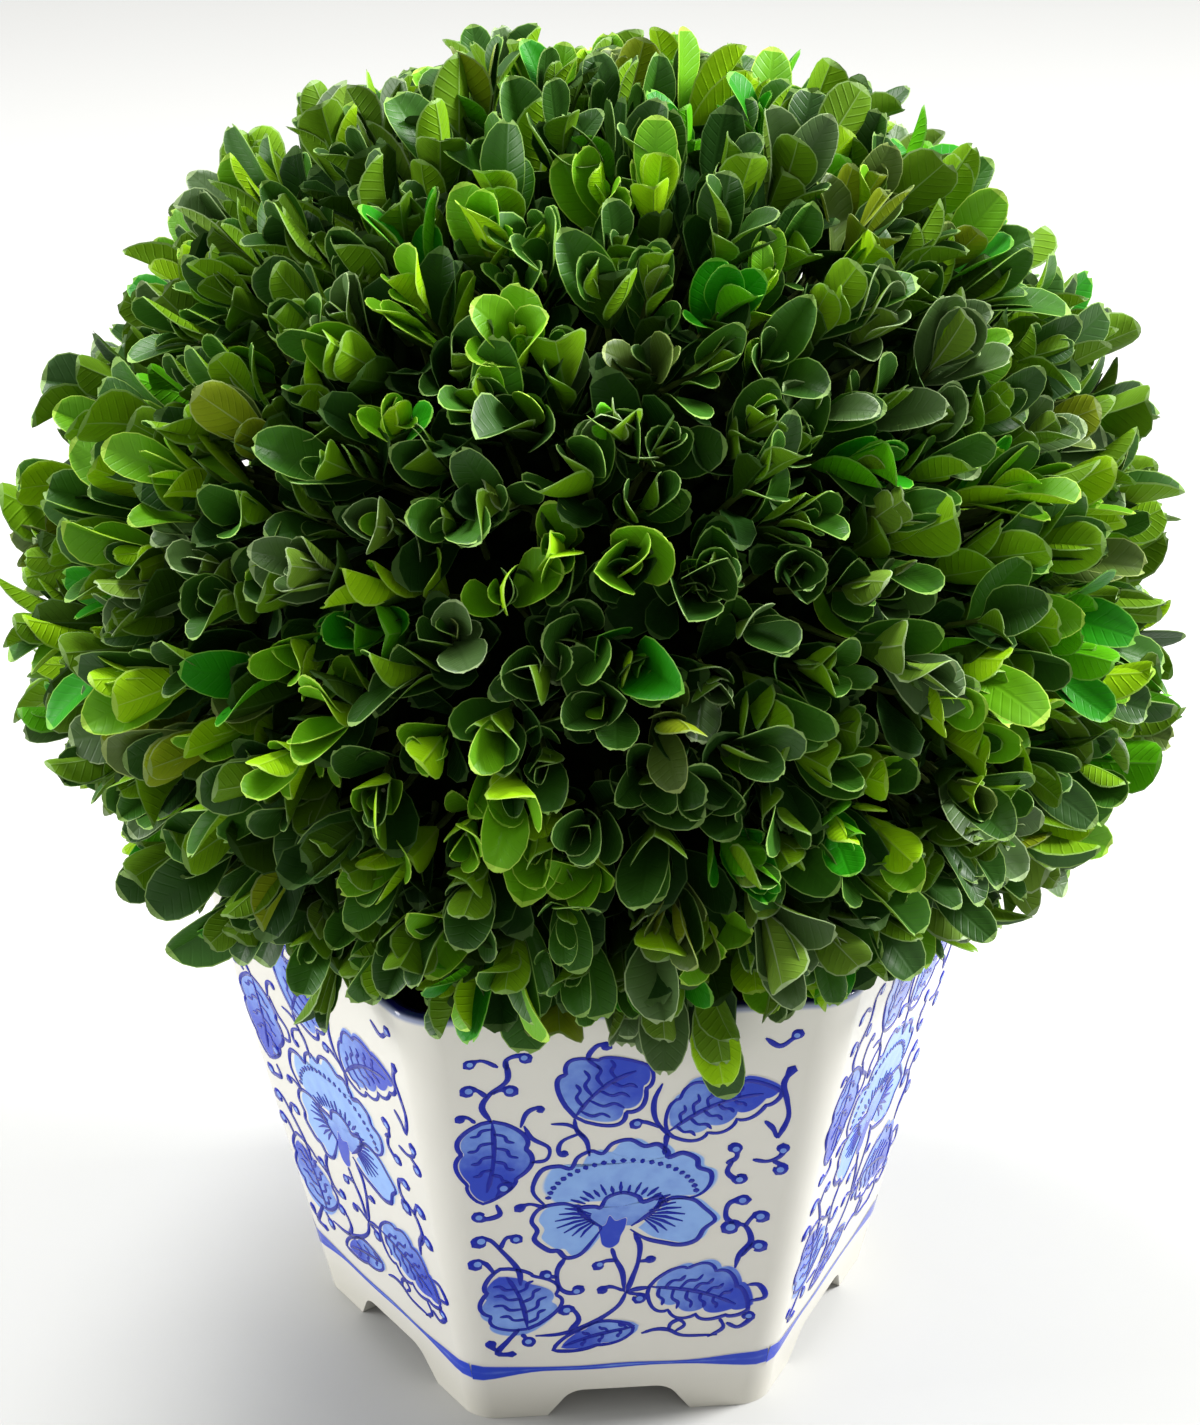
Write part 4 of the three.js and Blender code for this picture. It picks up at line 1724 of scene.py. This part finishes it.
                batch.cup.append(r.uniform(0.08, 0.6))
                batch.fold.append(r.uniform(0.2, 0.7) if r.random() < 0.3 else r.uniform(0, 0.12))
                batch.curl.append(r.uniform(-0.4, 0.25))
                batch.notch.append(r.uniform(0.01, 0.05) if r.random() < 0.4 else -0.01)
            down += (0.6 if young else 1.0) * self.node_gap * r.uniform(0.8, 1.25)
            turn += r.normal(0, 0.3) if spray.two_ranked else math.pi / 2

    def clear_of_pot(self, shapes: np.ndarray) -> np.ndarray:
        """Says which leaves don't touch the pot.

        Args:
            shapes: the leaves' vertices.

        Returns:
            True for each leaf that can stay.
        """
        depth = self.pot.depth_in_wall(shapes)
        low = shapes[..., 2] < self.pot.rim_z + 0.8 * MM
        in_wall = low & (depth > -0.8 * MM) & (depth < self.pot.wall + 1.5 * MM)
        sunk = (shapes[..., 2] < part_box("compost")[1].z + 2 * MM) & (depth > 0)
        hits = (in_wall | sunk).any(1)
        crosses = (low & (depth > 0)).any(1) & (low & (depth < 0)).any(1)
        return ~(hits | crosses)

    def inside_outline(self, shapes: np.ndarray) -> np.ndarray:
        """Says which leaves keep within the furthest reach of the clipped ball."""
        far = np.linalg.norm(shapes - self.centre, axis=2).max(1)
        return far < self.reach + self.tallest

    def build_twigs(self, limbs: Limbs) -> None:
        """Makes the sprays' stems, each with its cut end."""
        twigs = Patchwork()
        for spray in self.list_of_sprays:
            path = self.stem_path(spray)
            if spray.clipped:
                stub = path[-1] + spray.way * self.random.uniform(1, 5) * MM
                path = np.vstack([path, stub])
            radii = np.linspace(1.0 * MM, 0.6 * MM, len(path))
            limbs.tube(path, radii, 5, twigs, (0, 1 if spray.clipped else 0))
        material = [TWIG.start()[0], CUT_END.start()[0]]
        finish_piece(twigs.join("twigs", material, math.radians(50)), "bark", "foliage_ball")

    def join_leaves(self, name: str, shapes: np.ndarray, pattern: LeafPattern, skins: list) -> None:
        """Joins many leaves of one tint into a piece.

        Args:
            name: the piece's name.
            shapes: the vertices of each leaf.
            pattern: the grid that the leaves share.
            skins: the four materials of a leaf.
        """
        count, size = shapes.shape[:2]
        corners = (pattern.corners[None] + size * np.arange(count)[:, None]).ravel()
        maps = np.stack([pattern.outlines[1] / 2 + 0.5, pattern.along], 1)
        leaves = Patchwork()
        leaves.add_arrays(
            shapes.reshape(-1, 3),
            corners,
            np.tile(pattern.sizes, count),
            np.tile(pattern.slots, count),
            np.tile(maps, (count, 1)),
        )
        piece = leaves.join(name, skins, math.radians(50))
        finish_piece(piece, "foliage", "foliage_ball")

    def build(self, veins: bpy.types.NodeTree) -> None:
        """Makes the sprays, the limbs that carry them and all their leaves."""
        self.place_round()
        self.place_skirt()
        limbs = Limbs(self.random)
        starts = np.array([spray.start for spray in self.list_of_sprays])
        levels = [(9, 0.42, 3.6 * MM), (5, 0.6, 2.2 * MM), (4, 0.95, 1.3 * MM)]
        limbs.grow(Stem().top(), starts, levels, np.arange(len(starts)))
        limbs.build()
        self.build_twigs(limbs)
        batches = {tint: LeafBatch() for tint in Tint}
        for spray in self.list_of_sprays:
            self.leaf_out(spray, batches)
        full = LeafPattern()
        plain = LeafPattern(
            stations=(0.0, 0.2, 0.46, 0.74, 0.92, 1.0),
            oval=(0.07, 0.55, 0.97, 0.9, 0.55, 0.17),
            blunt=(0.06, 0.28, 0.74, 1.0, 0.78, 0.3),
        )
        total = 0
        for tint, batch in batches.items():
            pattern = plain if tint is Tint.SHADED else full
            shapes = batch.shapes(pattern)
            shapes = shapes[self.clear_of_pot(shapes) & self.inside_outline(shapes)]
            skins = tint.skins(veins)
            parts = math.ceil(len(shapes) / self.most_in_piece)
            for number, part in enumerate(np.array_split(shapes, parts)):
                self.join_leaves(f"leaves_{tint.name.lower()}_{number + 1}", part, pattern, skins)
            total += len(shapes)
        log.info("%d leaves on %d sprays", total, len(self.list_of_sprays))


# --------------------------------------------------------------------------------------------- studio


@dataclass
class Studio:
    """The pale floor, the soft lights and the camera."""

    eye: tuple[float, float, float] = (-0.0737, -0.8304, 0.618)
    aim: tuple[float, float, float] = (0.0008, 0.0, 0.169)
    lens: float = 96.05

    def add_camera(self) -> None:
        """Sets the camera in front of the plant, a little to the left and looking down."""
        data = bpy.data.cameras.new("camera")
        data.lens = self.lens
        data.sensor_width = 36
        camera = bpy.data.objects.new("camera", data)
        bpy.context.scene.collection.objects.link(camera)
        way = unit(np.array(self.aim) - np.array(self.eye))
        camera.location = self.eye
        heading = math.atan2(-way[0], way[1])
        camera.rotation_euler = (math.pi / 2 + math.asin(way[2]), 0, heading)
        bpy.context.scene.camera = camera

    def add_light(self, name: str, place: tuple[float, float, float], size: float, power: float) -> None:
        """Hangs a square soft light that faces the plant.

        Args:
            name: the light's name.
            place: where its middle is.
            size: the length of its side.
            power: its power in watts.
        """
        data = bpy.data.lights.new(name, "AREA")
        data.size = size
        data.energy = power
        light = bpy.data.objects.new(name, data)
        bpy.context.scene.collection.objects.link(light)
        light.location = place
        way = unit(np.array([0.0, 0.0, 0.18]) - np.array(place))
        light.rotation_euler = (math.pi / 2 + math.asin(way[2]), 0, math.atan2(-way[0], way[1]))

    def add_floor(self) -> None:
        """Lays the plain pale floor."""
        deselect()
        bpy.ops.mesh.primitive_plane_add(size=8, location=(0, 0, 0))
        floor = bpy.context.object
        floor.name = "floor"
        floor.data.materials.append(Shell("pale_floor", "#b2b2b0", 0.9, specular=0.0).start()[0])

    def add_sky(self) -> None:
        """Fills the room with even light."""
        world = bpy.data.worlds.new("room")
        bpy.context.scene.world = world
        world.use_nodes = True
        sky = next(n for n in world.node_tree.nodes if n.type == "BACKGROUND")
        sky.inputs["Color"].default_value = linear("#ffffff")
        sky.inputs["Strength"].default_value = 0.68

    def build(self) -> None:
        """Sets everything up."""
        bpy.context.scene.view_settings.view_transform = "Standard"
        self.add_camera()
        self.add_floor()
        self.add_sky()
        self.add_light("key", (1.1, 0.05, 0.95), 0.45, 42)
        self.add_light("fill", (-1.3, 0.1, 0.4), 0.7, 17)
        self.add_light("top", (-0.3, 0.4, 1.3), 0.5, 24)


def main() -> None:
    """Builds the pot, the plant and the studio in order."""
    logging.basicConfig(level=logging.INFO, format="%(name)s %(message)s")
    random = np.random.default_rng(SEED)
    Studio().build()
    flow, veins = glaze_group(), vein_group()
    pot = Pot()
    pot.build(flow)
    Painting(pot).build(flow)
    Compost().build(pot)
    Stem().build()
    low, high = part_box("foliage_ball")
    reach = (high.x - low.x) / 2
    centre = np.array([0.0, 0.0, high.z - reach])
    Core(centre).build()
    Crown(pot, random, centre, reach).build(veins)


if __name__ == "__main__":
    main()
